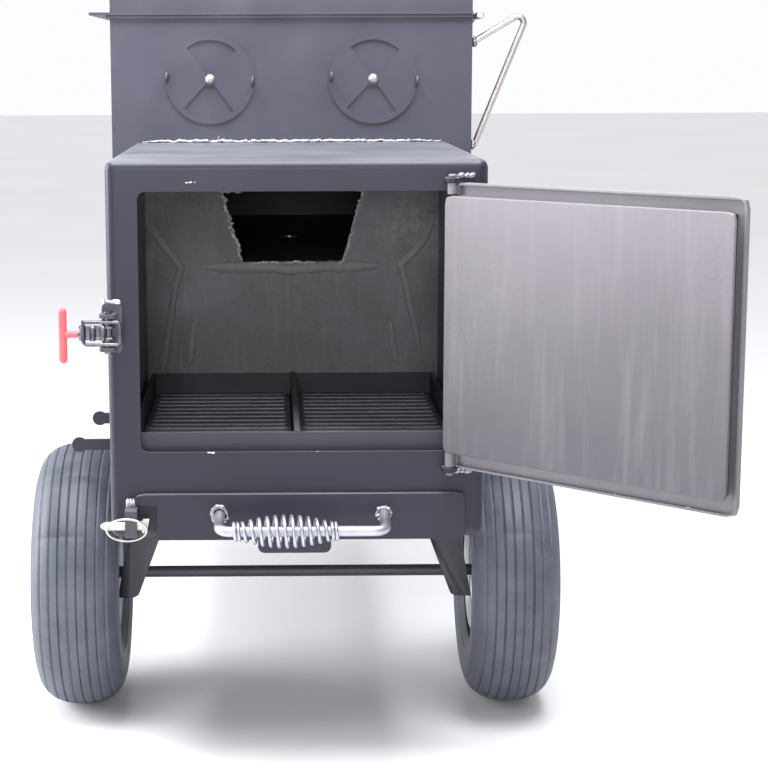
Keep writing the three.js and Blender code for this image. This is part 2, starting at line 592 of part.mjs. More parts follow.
function chamberTub() {
  const { seam } = CHAMBER;
  const y0 = FIREBOX.depth;
  const y1 = CHAMBER_END;
  const outer = alongY(lowerOutline(0, seam), y0, y1);
  const inner = alongY(lowerOutline(SHEET, seam + 50), y0 + END_WALL, y1 - END_WALL);
  const lip = cut(box(-CHAMBER.halfW - 6, CHAMBER.halfW, y0 - 6, y1 + 6, seam - 4, seam),
    box(-CHAMBER.halfW + SHEET, CHAMBER.halfW + 5, y0 + END_WALL, y1 - END_WALL, 0, 2000));
  const { x: hingeX, z: hingeZ, knuckleR, knuckle } = LID_HINGE;
  const knuckles = LID_HINGE.tubY.map((y) => join(cylinder('y', knuckleR, y, y + knuckle, hingeX, hingeZ, 20),
    box(CHAMBER.halfW - 1, hingeX - 5, y, y + knuckle, hingeZ - knuckleR, hingeZ - 1)));
  const rails = [-1, 1].map((side) => box(Math.min(side * 255, side * 236), Math.max(side * 255, side * 236),
    y0 + END_WALL + 2, y1 - END_WALL - 2, COOKING.z0 - GAP - SHEET, COOKING.z0 - GAP));
  const halfVent = DAMPER.half - 2;
  const vents = [-1, 1].flatMap((side) => [0, 180].map((centre) => alongY(
    sector(side * END_DAMPER.x, END_DAMPER.z, DAMPER.inner, DAMPER.vent, centre + END_DAMPER.turn, halfVent),
    y0 - 9, y0 + 9, 4)));
  const bolts = [-1, 1].map((side) => cylinder('y', DAMPER.shankR + GAP, y0 - 9, y0 + 9, side * END_DAMPER.x,
    END_DAMPER.z, 16));
  const halfFlue = CHIMNEY.half - 10;
  const flue = box(-halfFlue, halfFlue, y1 - 20, y1 + 20, CHIMNEY.z0 + 10, CHIMNEY.z1 - 10);
  const drain = cylinder('z', DRAIN.pipeR + GAP, CHAMBER.z0 - 20, CHAMBER.z0 + 20, DRAIN.x, DRAIN.y, 24);
  const rodWay = cylinder('y', LID_HINGE.r + GAP, 0, 2000, hingeX, hingeZ, 20);
  return cut(join(cut(outer, inner), lip, ...rails, ...knuckles), portHole(y0 - 9, y0 + 20), ...vents,
    ...bolts, flue, drain, rodWay);
}

place('chamber_tub', chamberTub(), paint);

// The octagon's upper part, a mirror of the lower one, from a given height up to the flat top.
function upperOutline(inset, bottom) {
  const x = CHAMBER.halfW - inset;
  const high = CHAMBER.zHigh - inset * RISE_PER_INSET;
  const flat = CHAMBER.halfFlat - inset * FLAT_PER_INSET;
  const top = CHAMBER.z1 - inset;
  return outline([[-x, bottom], [x, bottom], [x, high], [flat, top], [-flat, top], [-x, high]]);
}

const slopeAngle = Math.atan2(CHAMBER.halfW - CHAMBER.halfFlat, CHAMBER.z1 - CHAMBER.zHigh);

function lidShell() {
  const { halfW, seam } = CHAMBER;
  const base = seam + 0.5;
  const y0 = FIREBOX.depth;
  const y1 = CHAMBER_END;
  const outer = alongY(upperOutline(0, base), y0, y1);
  const inner = alongY(upperOutline(SHEET, base - 50), y0 + SHEET, y1 - SHEET);
  const lip = cut(box(-halfW - 29, halfW, y0 - 8, y1 + 8, base, base + 4),
    box(-halfW + SHEET, halfW + 5, y0 + SHEET, y1 - SHEET, 0, 2000));
  const { x: hingeX, z: hingeZ, knuckleR, knuckle } = LID_HINGE;
  const knuckles = LID_HINGE.lidY.map((y) => join(cylinder('y', knuckleR, y, y + knuckle, hingeX, hingeZ, 20),
    box(halfW - 1, halfW + SHEET, y, y + knuckle, base + 1, base + 40),
    box(halfW - 1, hingeX, y, y + knuckle, base + 1, base + 5)));
  const rodWay = cylinder('y', LID_HINGE.r + GAP, 0, 2000, hingeX, hingeZ, 20);
  const probe = onLidSlope(cylinder('y', 2 * THERMO.probe + 0.5, -20, 20, 0, 0, 16));
  return cut(join(cut(outer, inner), lip, ...knuckles), rodWay, probe);
}

// Turns a piece drawn about the Y axis so that it stands on the lid's front slope, outer end outwards.
function onLidSlope(geometry) {
  const outward = new THREE.Vector3(-Math.cos(slopeAngle), 0, Math.sin(slopeAngle));
  const turn = new THREE.Quaternion().setFromUnitVectors(new THREE.Vector3(0, 1, 0), outward);
  return geometry.applyQuaternion(turn).translate(THERMO.x, THERMO.y, THERMO.z);
}

place('lid_shell', lidShell(), paint);
function lidHingeRod() {
  return cylinder('y', LID_HINGE.r, FIREBOX.depth - 9, CHAMBER_END + 9, LID_HINGE.x, LID_HINGE.z, 20);
}

function lidStopRod() {
  const { x, y, lowZ, bendX, bendZ, highZ, r } = LID_STOP;
  return bentRod([[x, y, lowZ], [bendX, y, bendZ], [x, y, highZ]], r, 9, 12);
}

function thermometer() {
  const { r, probe } = THERMO;
  const stem = [[0, -60], [probe, -60], [probe, -4], [2 * probe, -4], [2 * probe, GAP]];
  const dial = [[r - 2, GAP], [r, 3], [r, 16], [r - 3, 19], [r - 5, 17], [0, 17]];
  return onLidSlope(turned([...stem, ...dial], 28));
}

const lidFace = -CHAMBER.halfW - GAP;
const lidBar = lidFace - LID_HANDLE.out;

function lidHandle() {
  const { y0, y1, z } = LID_HANDLE;
  return bentRod([[lidFace, y0, z], [lidBar, y0, z], [lidBar, y1, z], [lidFace, y1, z]], HANDLE.rod,
    HANDLE.bend, 12);
}

place('lid_hinge_rod', lidHingeRod(), zinc);
place('lid_stop_rod', lidStopRod(), paint);
place('thermometer', thermometer(), zinc);
place('lid_handle_rod', lidHandle(), zinc);
const lidSpring = place('lid_handle_spring', springCoil(LID_HANDLE.coilLength), zinc);
lidSpring.rotation.z = Math.PI / 2;
lidSpring.position.set(lidBar, LID_HANDLE.coilY, LID_HANDLE.z);

// Two lift-out cooking grates of steel bar, side by side on the tub's rails.
function cookingGrate([y0, y1]) {
  const { halfW, z0, z1, rows } = COOKING;
  const bar = 8;
  const pitch = (y1 - y0 - bar) / rows;
  const holes = [];
  for (let i = 0; i < rows; i += 1) {
    for (const x0 of [-halfW + bar, bar / 2]) {
      const x1 = x0 + halfW - 1.5 * bar;
      holes.push(box(x0, x1, y0 + bar + i * pitch, y0 + (i + 1) * pitch, z0 - 20, z1 + 20));
    }
  }
  return cut(box(-halfW, halfW, y0, y1, z0, z1), ...holes);
}

place('cooking_grate_near', cookingGrate(COOKING.near), zinc);
place('cooking_grate_far', cookingGrate(COOKING.far), zinc);

// ---------------------------------------------------------------- chimney
function chimneyElbow() {
  const { z0, z1, r, half, wall } = CHIMNEY;
  const y0 = CHAMBER_END + GAP;
  const y1 = CHIMNEY.y + half + 2;
  const duct = box(-half, half, y0, y1, z0, z1);
  const bore = join(box(-half + wall, half - wall, y0 - 9, y1 - wall, z0 + wall, z1 - wall),
    cylinder('z', r - 6, z1 - 20, z1 + 9, 0, CHIMNEY.y, 32));
  return cut(duct, bore);
}

function chimneyPipe() {
  const { r, wall, z1, top, y, pivot } = CHIMNEY;
  const pipe = cylinder('z', r, z1 + GAP, top, 0, y, 36);
  const lug = cylinder('z', 8, top - 30, top, pivot, y, 16);
  return cut(join(pipe, lug), cylinder('z', 4.3, top - 50, top + 50, pivot, y, 12),
    cylinder('z', r - wall, 0, 3000, 0, y, 36));
}

function chimneyCap() {
  const { r, top, y, pivot } = CHIMNEY;
  const under = top + GAP;
  const over = under + SHEET;
  const lid = new THREE.Shape();
  lid.absarc(0, y, r + 3, 0, 2 * Math.PI);
  const arm = box(0, pivot, y - 8, y + 8, under, over);
  const boss = cylinder('z', 8, under, over, pivot, y, 16);
  const pin = cylinder('z', 4, top - 34, top + 8, pivot, y, 12);
  const pull = box(-r - 28, -r, y - 8, y + 8, under, over);
  return join(alongZ(lid, under, over, 18), arm, boss, pin, pull);
}

place('chimney_elbow', chimneyElbow(), paint);
place('chimney_pipe', chimneyPipe(), paint);
place('chimney_cap', chimneyCap(), paint);

// ---------------------------------------------------------------- drain
function drainValve() {
  const { x, y, z, bore, pipeR } = DRAIN;
  const nipple = cylinder('z', pipeR, z + 20, CHAMBER.z0 + SHEET, x, y, 24);
  const profile = [[0, 505], [18, 505], [18, 520], [24, 528], [24, 552], [18, 560], [18, 572], [0, 572]];
  const body = turned(profile, 24).rotateX(Math.PI / 2).translate(x, y, 0);
  const stemBoss = cylinder('x', 9, x - 38, x, y, z, 16);
  return cut(join(nipple, body, stemBoss), cylinder('z', bore, 0, 2000, x, y, 24),
    cylinder('x', 4.3, x - 60, x - 28, y, z, 12));
}

function drainLever() {
  const { x, y, z } = DRAIN;
  const bar = box(x - 43, x - 39, y - 9, y + 95, z - 9, z + 9);
  return join(bar, cylinder('x', 4, x - 46, x - 30, y, z, 12));
}

place('drain_valve_body', drainValve(), zinc);
place('drain_valve_lever', drainLever(), redVinyl);

// ---------------------------------------------------------------- wheels and axle
function tyre() {
  const { r, width, rimR } = WHEEL;
  const half = width / 2;
  const side = (r - rimR) / 2;
  const centre = rimR + side;
  const outer = [];
  const inner = [];
  const steps = 8;
  for (let i = 0; i <= steps; i += 1) {
    const angle = radians(-128 + (256 * i) / steps);
    const across = Math.sign(Math.sin(angle)) * Math.abs(Math.sin(angle)) ** 0.9;
    const up = Math.sign(Math.cos(angle)) * Math.abs(Math.cos(angle)) ** 0.8;
    outer.push([centre + side * up, half * across]);
    inner.unshift([centre + (side - 9) * up, (half - 8) * across]);
  }
  const profile = [...outer, ...inner, outer[0]];
  return turned(profile, 32);
}

// A pressed rim: a hub tube, a flat web and a dropped barrel with a flange at each bead.
function rim() {
  const bore = WHEEL.axleR + GAP;
  const hub = 45;
  const lip = WHEEL.rimR - 1;
  const half = [[bore, -hub], [20, -hub], [20, -2.5], [70, -2.5], [72, -40], [lip, -45], [lip, -48],
    [75, -42]];
  const mirrored = half.map(([r, across]) => [r, -across]).reverse();
  return turned([...half, ...mirrored, half[0]], 24);
}

function axleNut(side) {
  const [from, to] = side > 0 ? [46, 52] : [-52, -46];
  return cut(cylinder('y', 15, from, to, 0, 0, 6), cylinder('y', WHEEL.axleR + GAP, -60, 60, 0, 0, 16));
}

for (const [side, word] of [[-1, 'left'], [1, 'right']]) {
  const wheel = new THREE.Group();
  wheel.position.set((side * WHEEL.track) / 2, WHEEL.axleY, WHEEL.r);
  wheel.rotation.z = -Math.PI / 2;
  smoker.add(wheel);
  place(`tyre_${word}`, tyre(), rubber, wheel);
  place(`rim_${word}`, rim(), zinc, wheel);
  place(`axle_nut_${word}`, axleNut(side), zinc, wheel);
}
const halfAxle = WHEEL.track / 2 + 56;
place('axle', cylinder('x', WHEEL.axleR, -halfAxle, halfAxle, WHEEL.axleY, WHEEL.r, 24), paint);

// Each bracket is a splayed channel: front and back plates joined by a sloping inner web.
function axleBracket(side) {
  const top = FIREBOX.z0 - GAP;
  const mirroredTo = (points) => outline(points.map(([x, z]) => [side * x, z]));
  const plate = mirroredTo([[158.5, top], [217.5, top], [249, 152.4], [227, 152.4], [220, 156], [217, 163]]);
  const web = mirroredTo([[158.5, top], [163, top], [221.5, 163], [217, 163]]);
  const axleWay = cylinder('x', WHEEL.axleR + GAP, -400, 400, WHEEL.axleY, WHEEL.r, 20);
  return cut(join(alongY(plate, 325, 329), alongY(plate, 369.5, 373.5), alongY(web, 325, 373.5)), axleWay);
}

place('axle_bracket_left', axleBracket(-1), paint);
place('axle_bracket_right', axleBracket(1), paint);

// ---------------------------------------------------------------- far legs, shelf and tow handle
function farLeg(side) {
  const { y, half, footHalf, footTop } = LEG;
  const x = side * LEG.x;
  const tube = box(x - half, x + half, y - half, y + half, footTop - 1, 700);
  const foot = alongZ(roundedRect(x - footHalf, x + footHalf, y - footHalf, y + footHalf, 8), 0, footTop);
  const seat = alongY(lowerOutline(-GAP, CHAMBER.z1), FIREBOX.depth, CHAMBER_END + 100);
  return cut(join(tube, foot), seat);
}

function bottomShelf() {
  const { y0, deckY, z, halfDeck, rail } = SHELF;
  const y1 = LEG.y - LEG.half - GAP;
  const outer = halfDeck + rail;
  const rails = [-1, 1].map((side) => join(
    box(side * halfDeck - rail, side * halfDeck + rail, y0, y1, z, z + SHEET),
    box(Math.min(side * outer, side * (outer - SHEET)), Math.max(side * outer, side * (outer - SHEET)),
      y0, y1, z - 20, z + SHEET)));
  const deck = box(-halfDeck, halfDeck, deckY, y1, z, z + SHEET);
  return join(...rails, deck);
}

place('far_leg_left', farLeg(-1), paint);
place('far_leg_right', farLeg(1), paint);
place('bottom_shelf', bottomShelf(), paint);

function towHandle() {
  const { halfX, reach, z, r, bend } = TOW;
  const near = CHAMBER_END + GAP;
  const far = near + reach;
  return bentRod([[-halfX, near, z], [-halfX, far, z], [halfX, far, z], [halfX, near, z]], r, bend, 14);
}

place('tow_handle', towHandle(), paint);

// ---------------------------------------------------------------- origin
const extent = new THREE.Box3().setFromObject(smoker, true);
const middle = extent.getCenter(new THREE.Vector3());
smoker.position.set(-middle.x, -middle.y, -extent.min.z);

export default smoker;
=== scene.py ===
"""Looks of the offset smoker: detailed pieces, finishes, floor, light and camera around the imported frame."""
import json
import math

import bmesh
import bpy
from mathutils import Matrix, Vector, noise


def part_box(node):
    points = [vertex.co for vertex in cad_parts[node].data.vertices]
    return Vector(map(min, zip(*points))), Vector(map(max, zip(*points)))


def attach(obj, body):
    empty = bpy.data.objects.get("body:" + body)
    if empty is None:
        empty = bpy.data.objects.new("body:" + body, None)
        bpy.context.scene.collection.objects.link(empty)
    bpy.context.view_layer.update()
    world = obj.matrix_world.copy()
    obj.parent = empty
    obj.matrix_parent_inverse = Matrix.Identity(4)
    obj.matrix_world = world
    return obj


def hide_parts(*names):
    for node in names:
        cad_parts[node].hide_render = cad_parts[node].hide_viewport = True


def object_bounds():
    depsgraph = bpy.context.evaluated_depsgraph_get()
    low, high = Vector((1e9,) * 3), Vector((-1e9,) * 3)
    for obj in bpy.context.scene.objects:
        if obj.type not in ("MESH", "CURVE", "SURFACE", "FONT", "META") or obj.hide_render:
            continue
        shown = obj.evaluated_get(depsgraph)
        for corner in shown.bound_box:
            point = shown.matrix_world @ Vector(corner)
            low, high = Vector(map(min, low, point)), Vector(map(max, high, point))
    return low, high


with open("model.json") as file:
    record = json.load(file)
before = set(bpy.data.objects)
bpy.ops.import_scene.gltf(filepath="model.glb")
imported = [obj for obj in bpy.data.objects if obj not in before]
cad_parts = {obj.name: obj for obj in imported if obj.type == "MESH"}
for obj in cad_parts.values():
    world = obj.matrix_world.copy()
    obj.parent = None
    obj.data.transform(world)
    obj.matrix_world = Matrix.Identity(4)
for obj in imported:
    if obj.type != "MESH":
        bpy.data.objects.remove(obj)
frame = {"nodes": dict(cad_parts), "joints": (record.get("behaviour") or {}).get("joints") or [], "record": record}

CAD_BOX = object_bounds()
RECORD = frame["record"]
BODY_OF = {node: body for body, members in RECORD["behaviour"]["bodies"].items() for node in members}

# Lengths below are millimetres, from the firebox front's centre line on the ground. This matrix
# carries them into the row frame.
MM = 0.001
SHELL_LOW, SHELL_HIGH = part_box("firebox_shell")
TO_ROW = Matrix.Translation(((SHELL_LOW.x + SHELL_HIGH.x) / 2, SHELL_LOW.y, 0)) @ Matrix.Scale(MM, 4)
FROM_ROW = TO_ROW.inverted()


def span(node):
    """A CAD node's lowest and highest corners, in millimetres from the firebox front's centre line."""
    low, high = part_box(node)
    return FROM_ROW @ low, FROM_ROW @ high


def joint_point(name):
    """A joint's place in millimetres from the firebox front's centre line."""
    return FROM_ROW @ Vector(next(j["pos_m"] for j in frame["joints"] if j["name"] == name))


SHELL = span("firebox_shell")
BACK_PLATE = span("firebox_back_plate")
TUB = span("chamber_tub")
LID = span("lid_shell")
FRONT = SHELL[0].y
ROOF = SHELL[1].z
HALF_SHELL = SHELL[1].x
CHAMBER_NEAR = BACK_PLATE[1].y + 0.3
BEND = 12
SHEET = 3
HINGE = joint_point("door_swing")
DOOR_OPEN = math.radians(135.6)
DOOR = Matrix.Translation((HINGE.x, HINGE.y, 0)) @ Matrix.Rotation(DOOR_OPEN, 4, "Z")


# ---------------------------------------------------------------- finishes
class Finish:
    """A node material being built, with short names for the few kinds of node that the finishes use."""

    def __init__(self, name):
        self.material = bpy.data.materials.new(name)
        self.material.use_nodes = True
        self.tree = self.material.node_tree
        self.shader = self.tree.nodes["Principled BSDF"]
        self.place = self.tree.nodes.new("ShaderNodeTexCoord").outputs["Object"]

    def node(self, kind, **settings):
        made = self.tree.nodes.new(kind)
        for key, value in settings.items():
            setattr(made, key, value)
        return made

    def put(self, socket, value):
        """Links an output to a socket, or sets a constant on it."""
        if isinstance(value, bpy.types.NodeSocket):
            self.tree.links.new(value, socket)
        else:
            socket.default_value = value

    def noise(self, scale, detail=3.0, roughness=0.55, stretch=(1, 1, 1), distortion=0.0):
        mapping = self.node("ShaderNodeMapping")
        self.put(mapping.inputs["Vector"], self.place)
        mapping.inputs["Scale"].default_value = stretch
        made = self.node("ShaderNodeTexNoise")
        self.put(made.inputs["Vector"], mapping.outputs["Vector"])
        made.inputs["Scale"].default_value = scale
        made.inputs["Detail"].default_value = detail
        made.inputs["Roughness"].default_value = roughness
        made.inputs["Distortion"].default_value = distortion
        return made.outputs["Fac"]

    def cells(self, scale, feature="F1"):
        made = self.node("ShaderNodeTexVoronoi", feature=feature)
        self.put(made.inputs["Vector"], self.place)
        made.inputs["Scale"].default_value = scale
        return made.outputs["Distance"]

    def height(self):
        made = self.node("ShaderNodeSeparateXYZ")
        self.put(made.inputs[0], self.place)
        return made.outputs["Z"]

    def facing_up(self):
        geometry = self.node("ShaderNodeNewGeometry")
        made = self.node("ShaderNodeSeparateXYZ")
        self.put(made.inputs[0], geometry.outputs["Normal"])
        return made.outputs["Z"]

    def remap(self, value, low, high, to_low, to_high):
        made = self.node("ShaderNodeMapRange")
        self.put(made.inputs["Value"], value)
        made.inputs["From Min"].default_value = low
        made.inputs["From Max"].default_value = high
        made.inputs["To Min"].default_value = to_low
        made.inputs["To Max"].default_value = to_high
        return made.outputs["Result"]

    def times(self, a, b):
        made = self.node("ShaderNodeMath", operation="MULTIPLY")
        self.put(made.inputs[0], a)
        self.put(made.inputs[1], b)
        return made.outputs[0]

    def plus(self, a, b):
        made = self.node("ShaderNodeMath", operation="ADD")
        self.put(made.inputs[0], a)
        self.put(made.inputs[1], b)
        return made.outputs[0]

    def colours(self, value, *stops):
        """Colours along a 0 to 1 value: stops are (place, (r, g, b))."""
        ramp = self.node("ShaderNodeValToRGB")
        self.put(ramp.inputs["Fac"], value)
        elements = ramp.color_ramp.elements
        while len(elements) < len(stops):
            elements.new(0.5)
        for element, (place, colour) in zip(elements, stops):
            element.position = place
            element.color = (*colour, 1)
        return ramp.outputs["Color"]

    def mix(self, share, a, b, blend_type="MIX"):
        made = self.node("ShaderNodeMix", data_type="RGBA", blend_type=blend_type)
        self.put(made.inputs["Factor"], share)
        for socket, value in ((made.inputs[6], a), (made.inputs[7], b)):
            self.put(socket, (*value, 1) if isinstance(value, tuple) else value)
        return made.outputs[2]

    def bump(self, height, strength, distance, under=None):
        made = self.node("ShaderNodeBump")
        self.put(made.inputs["Height"], height)
        made.inputs["Strength"].default_value = strength
        made.inputs["Distance"].default_value = distance
        if under is not None:
            self.put(made.inputs["Normal"], under)
        return made.outputs["Normal"]

    def done(self, colour, roughness, metallic=0.0, normal=None, **more):
        self.put(self.shader.inputs["Base Color"], (*colour, 1) if isinstance(colour, tuple) else colour)
        self.put(self.shader.inputs["Roughness"], roughness)
        self.put(self.shader.inputs["Metallic"], metallic)
        if normal is not None:
            self.put(self.shader.inputs["Normal"], normal)
        for name, value in more.items():
            self.shader.inputs[name.replace("_", " ")].default_value = value
        return self.material


def scaled(colour, share):
    return tuple(c * share for c in colour)


def paint(name, colour, roughness=0.4, dust=0.25, sheen=0.42):
    """Satin stove paint on sheet steel: cloudy tone, orange peel, faint roller marks, dust with painted top light, and
    painted shade towards the bottom.
    """
    f = Finish(name)
    cloud = f.noise(3.2, 4, 0.6)
    grain = f.noise(420, 2, 0.6)
    rolled = f.noise(26, 3, 0.5, stretch=(1, 0.12, 0.12))
    base = f.colours(cloud, (0.3, scaled(colour, 0.88)), (0.7, scaled(colour, 1.12)))
    base = f.mix(f.remap(rolled, 0.35, 0.7, 0, 0.22), base, scaled(colour, 1.35))
    base = f.mix(f.remap(grain, 0.55, 0.8, 0, 0.3), base, scaled(colour, 0.7))
    # Pale dust on upward faces, strong enough to stand for the light from above on the tops: real dust and painted top
    # light.
    dust_and_top_light = f.times(f.remap(f.facing_up(), 0.55, 1.0, 0, dust), f.remap(cloud, 0.3, 0.7, 0.4, 1))
    base = f.mix(dust_and_top_light, base, (0.42, 0.43, 0.47))
    rough = f.remap(f.noise(14, 4, 0.6), 0.3, 0.7, roughness - 0.05, roughness + 0.07)
    peel = f.bump(f.noise(900, 2, 0.5), 0.1, 0.0002)
    waves = f.bump(f.noise(9, 2, 0.4), 0.12, 0.002, under=peel)
    # Painted shade: the paint is drawn darker towards the bottom, as light falling from above would leave it.
    level = f.colours(f.remap(f.height(), 0.25, 0.85, 0, 1), (0.1, (0.72, 0.72, 0.74)), (0.9, (1, 1, 1)))
    return f.done(f.mix(1.0, base, level, "MULTIPLY"), rough, normal=waves, Specular_IOR_Level=sheen)


def stained_steel(name):
    """Mill-finish firebox steel: brown and blue-grey mottling, pits and fine vertical grinding."""
    f = Finish(name)
    cloud = f.noise(7, 5, 0.65, distortion=0.6)
    speck = f.noise(190, 3, 0.7)
    ground = f.noise(110, 3, 0.6, stretch=(1, 1, 0.1))
    base = f.colours(cloud, (0.28, (0.125, 0.11, 0.108)), (0.48, (0.18, 0.168, 0.176)),
                     (0.62, (0.205, 0.197, 0.22)), (0.8, (0.28, 0.265, 0.265)))
    scuffs = f.times(f.remap(f.noise(5, 2, 0.5), 0.58, 0.7, 0, 1), f.remap(f.noise(90, 4, 0.8), 0.4, 0.7, 0.1, 0.9))
    base = f.mix(f.times(scuffs, 0.7), base, (0.52, 0.52, 0.55))
    base = f.mix(f.remap(speck, 0.5, 0.75, 0, 0.5), base, (0.38, 0.37, 0.385))
    base = f.mix(f.remap(ground, 0.55, 0.8, 0, 0.3), base, (0.44, 0.43, 0.45))
    rough = f.remap(speck, 0.3, 0.7, 0.5, 0.72)
    pits = f.bump(speck, 0.4, 0.0006)
    wave = f.bump(f.noise(16, 3, 0.5), 0.25, 0.003, under=pits)
    return f.done(base, rough, metallic=0.25, normal=wave)


def heat_tint_and_painted_light(name):
    """A raised line burnt through from a weld on the far side: heat tint, with a painted highlight along its middle
    and painted shade at its edges, set by how squarely it faces the view.
    """
    f = Finish(name)
    facing = f.node("ShaderNodeLayerWeight")
    facing.inputs["Blend"].default_value = 0.35
    cloud = f.noise(26, 4, 0.6)
    # Painted highlight and shade: pale where the line faces the view squarely, dark where it turns away.
    base = f.colours(f.plus(facing.outputs["Facing"], f.remap(cloud, 0.3, 0.7, -0.12, 0.12)),
                     (0.08, (0.25, 0.24, 0.25)), (0.3, (0.16, 0.145, 0.14)), (0.55, (0.055, 0.05, 0.052)))
    grain = f.noise(190, 3, 0.7)
    return f.done(base, f.remap(grain, 0.3, 0.7, 0.5, 0.7), metallic=0.2, normal=f.bump(grain, 0.3, 0.0005))


def torch_slag(name):
    """Frozen drops along a torch cut: pale grey with darker pits."""
    f = Finish(name)
    pit = f.noise(240, 4, 0.7)
    base = f.colours(pit, (0.3, (0.30, 0.28, 0.29)), (0.5, (0.62, 0.60, 0.62)), (0.68, (0.85, 0.84, 0.86)))
    return f.done(base, f.remap(pit, 0.3, 0.7, 0.4, 0.6), metallic=0.15, normal=f.bump(pit, 0.5, 0.0008))


def lining_paint(name):
    """The door lining's satin paint, drawn lighter than the casing's and lighter still towards its top as painted
    light, with rubbed patches.
    """
    f = Finish(name)
    cloud = f.noise(4.5, 4, 0.55)
    # Painted light: the lining runs from dark at its bottom to light at its top, for the lamp light that falls on it.
    level = f.plus(f.remap(f.height(), 0.42, 0.76, 0, 1), f.remap(cloud, 0.3, 0.7, -0.08, 0.08))
    base = f.colours(level, (0.0, (0.062, 0.058, 0.068)), (0.5, (0.108, 0.098, 0.110)), (1.0, (0.175, 0.160, 0.176)))
    rubbed = f.times(f.remap(f.noise(2.6, 2, 0.5), 0.5, 0.68, 0, 1), f.remap(f.noise(320, 3, 0.7), 0.35, 0.7, 0, 0.16))
    base = f.mix(rubbed, base, (0.30, 0.28, 0.30))
    brushed = f.noise(60, 3, 0.6, stretch=(1, 1, 0.08))
    base = f.mix(f.remap(brushed, 0.5, 0.75, 0, 0.16), base, (0.30, 0.28, 0.30))
    rough = f.remap(f.noise(11, 4, 0.6), 0.3, 0.7, 0.32, 0.42)
    waves = f.bump(f.noise(7, 2, 0.4), 0.1, 0.002, under=f.bump(f.noise(800, 2, 0.5), 0.08, 0.0002))
    return f.done(base, rough, normal=waves, Specular_IOR_Level=0.42)


def weld_metal(name, bright=1.0):
    """Bare weld bead: silver with straw and blue heat colours."""
    f = Finish(name)
    tint = f.noise(60, 3, 0.6)
    base = f.colours(tint, (0.3, scaled((0.42, 0.45, 0.56), bright)), (0.5, scaled((0.66, 0.69, 0.78), bright)),
                     (0.7, scaled((0.60, 0.57, 0.56), bright)))
    rough = f.remap(f.noise(300, 3, 0.6), 0.3, 0.7, 0.3, 0.52)
    return f.done(base, rough, metallic=0.85, normal=f.bump(f.noise(700, 3, 0.6), 0.35, 0.0004))


def cast_iron(name):
    f = Finish(name)
    sand = f.noise(520, 4, 0.7)
    # Painted light: the cast iron is drawn lighter than its own colour, standing for the light on the bars' tops.
    base = f.colours(f.noise(9, 4, 0.6), (0.3, (0.10, 0.10, 0.125)), (0.7, (0.16, 0.16, 0.19)))
    base = f.mix(f.remap(sand, 0.5, 0.8, 0, 0.5), base, (0.26, 0.26, 0.30))
    return f.done(base, f.remap(sand, 0.3, 0.7, 0.34, 0.5), metallic=0.3,
                  normal=f.bump(sand, 0.35, 0.0004), Specular_IOR_Level=0.7)


def plated(name, colour, roughness, grain=0.2, tarnish=(0.5, 0.46, 0.4)):
    """Plated or bare bright metal with drawing lines, fingerprints and a little tarnish."""
    f = Finish(name)
    smudge = f.noise(38, 4, 0.6)
    line = f.noise(600, 2, 0.6, stretch=(0.1, 1, 1))
    base = f.mix(f.remap(smudge, 0.5, 0.8, 0, 0.35), colour, tarnish)
    rough = f.plus(f.remap(smudge, 0.3, 0.7, roughness - 0.06, roughness + 0.1),
                   f.remap(line, 0.4, 0.7, 0, 0.06))
    return f.done(base, rough, metallic=1.0, normal=f.bump(line, grain, 0.0002))


def rubber(name):
    """Tyre rubber with road dust in its fine texture."""
    f = Finish(name)
    dust = f.noise(22, 5, 0.65)
    fine = f.noise(800, 3, 0.6)
    base = f.colours(dust, (0.35, (0.046, 0.051, 0.072)), (0.68, (0.082, 0.09, 0.12)))
    base = f.mix(f.remap(fine, 0.55, 0.8, 0, 0.4), base, (0.15, 0.155, 0.18))
    return f.done(base, f.remap(dust, 0.3, 0.7, 0.45, 0.6), normal=f.bump(fine, 0.3, 0.0003),
                  Specular_IOR_Level=0.6)


def vinyl(name, colour):
    """Dipped vinyl: soft gloss, slight scuffs, a little light inside."""
    f = Finish(name)
    scuff = f.noise(160, 4, 0.6)
    base = f.mix(f.remap(scuff, 0.5, 0.85, 0, 0.35), colour, scaled(colour, 1.25))
    return f.done(base, f.remap(scuff, 0.3, 0.7, 0.28, 0.45), normal=f.bump(scuff, 0.12, 0.0004),
                  Subsurface_Weight=0.15, Subsurface_Scale=0.003)


def wool_fibre(name):
    f = Finish(name)
    fibre = f.noise(240, 6, 0.75, stretch=(1, 0.2, 1), distortion=1.5)
    base = f.colours(fibre, (0.3, (0.30, 0.26, 0.16)), (0.7, (0.62, 0.56, 0.40)))
    return f.done(base, f.remap(fibre, 0.3, 0.7, 0.85, 1.0), normal=f.bump(fibre, 0.8, 0.002))


def enamel(name, colour):
    f = Finish(name)
    spray = f.noise(480, 3, 0.6)
    base = f.mix(f.remap(f.noise(24, 4, 0.6), 0.45, 0.8, 0, 0.4), colour, scaled(colour, 0.6))
    return f.done(base, f.remap(spray, 0.3, 0.7, 0.3, 0.42), metallic=0.4, normal=f.bump(spray, 0.15, 0.0002))


def pale_floor(name):
    f = Finish(name)
    cloud = f.noise(0.7, 2, 0.4)
    base = f.colours(cloud, (0.3, (0.86, 0.86, 0.87)), (0.7, (0.9, 0.9, 0.905)))
    return f.done(base, f.remap(cloud, 0.3, 0.7, 0.6, 0.7))


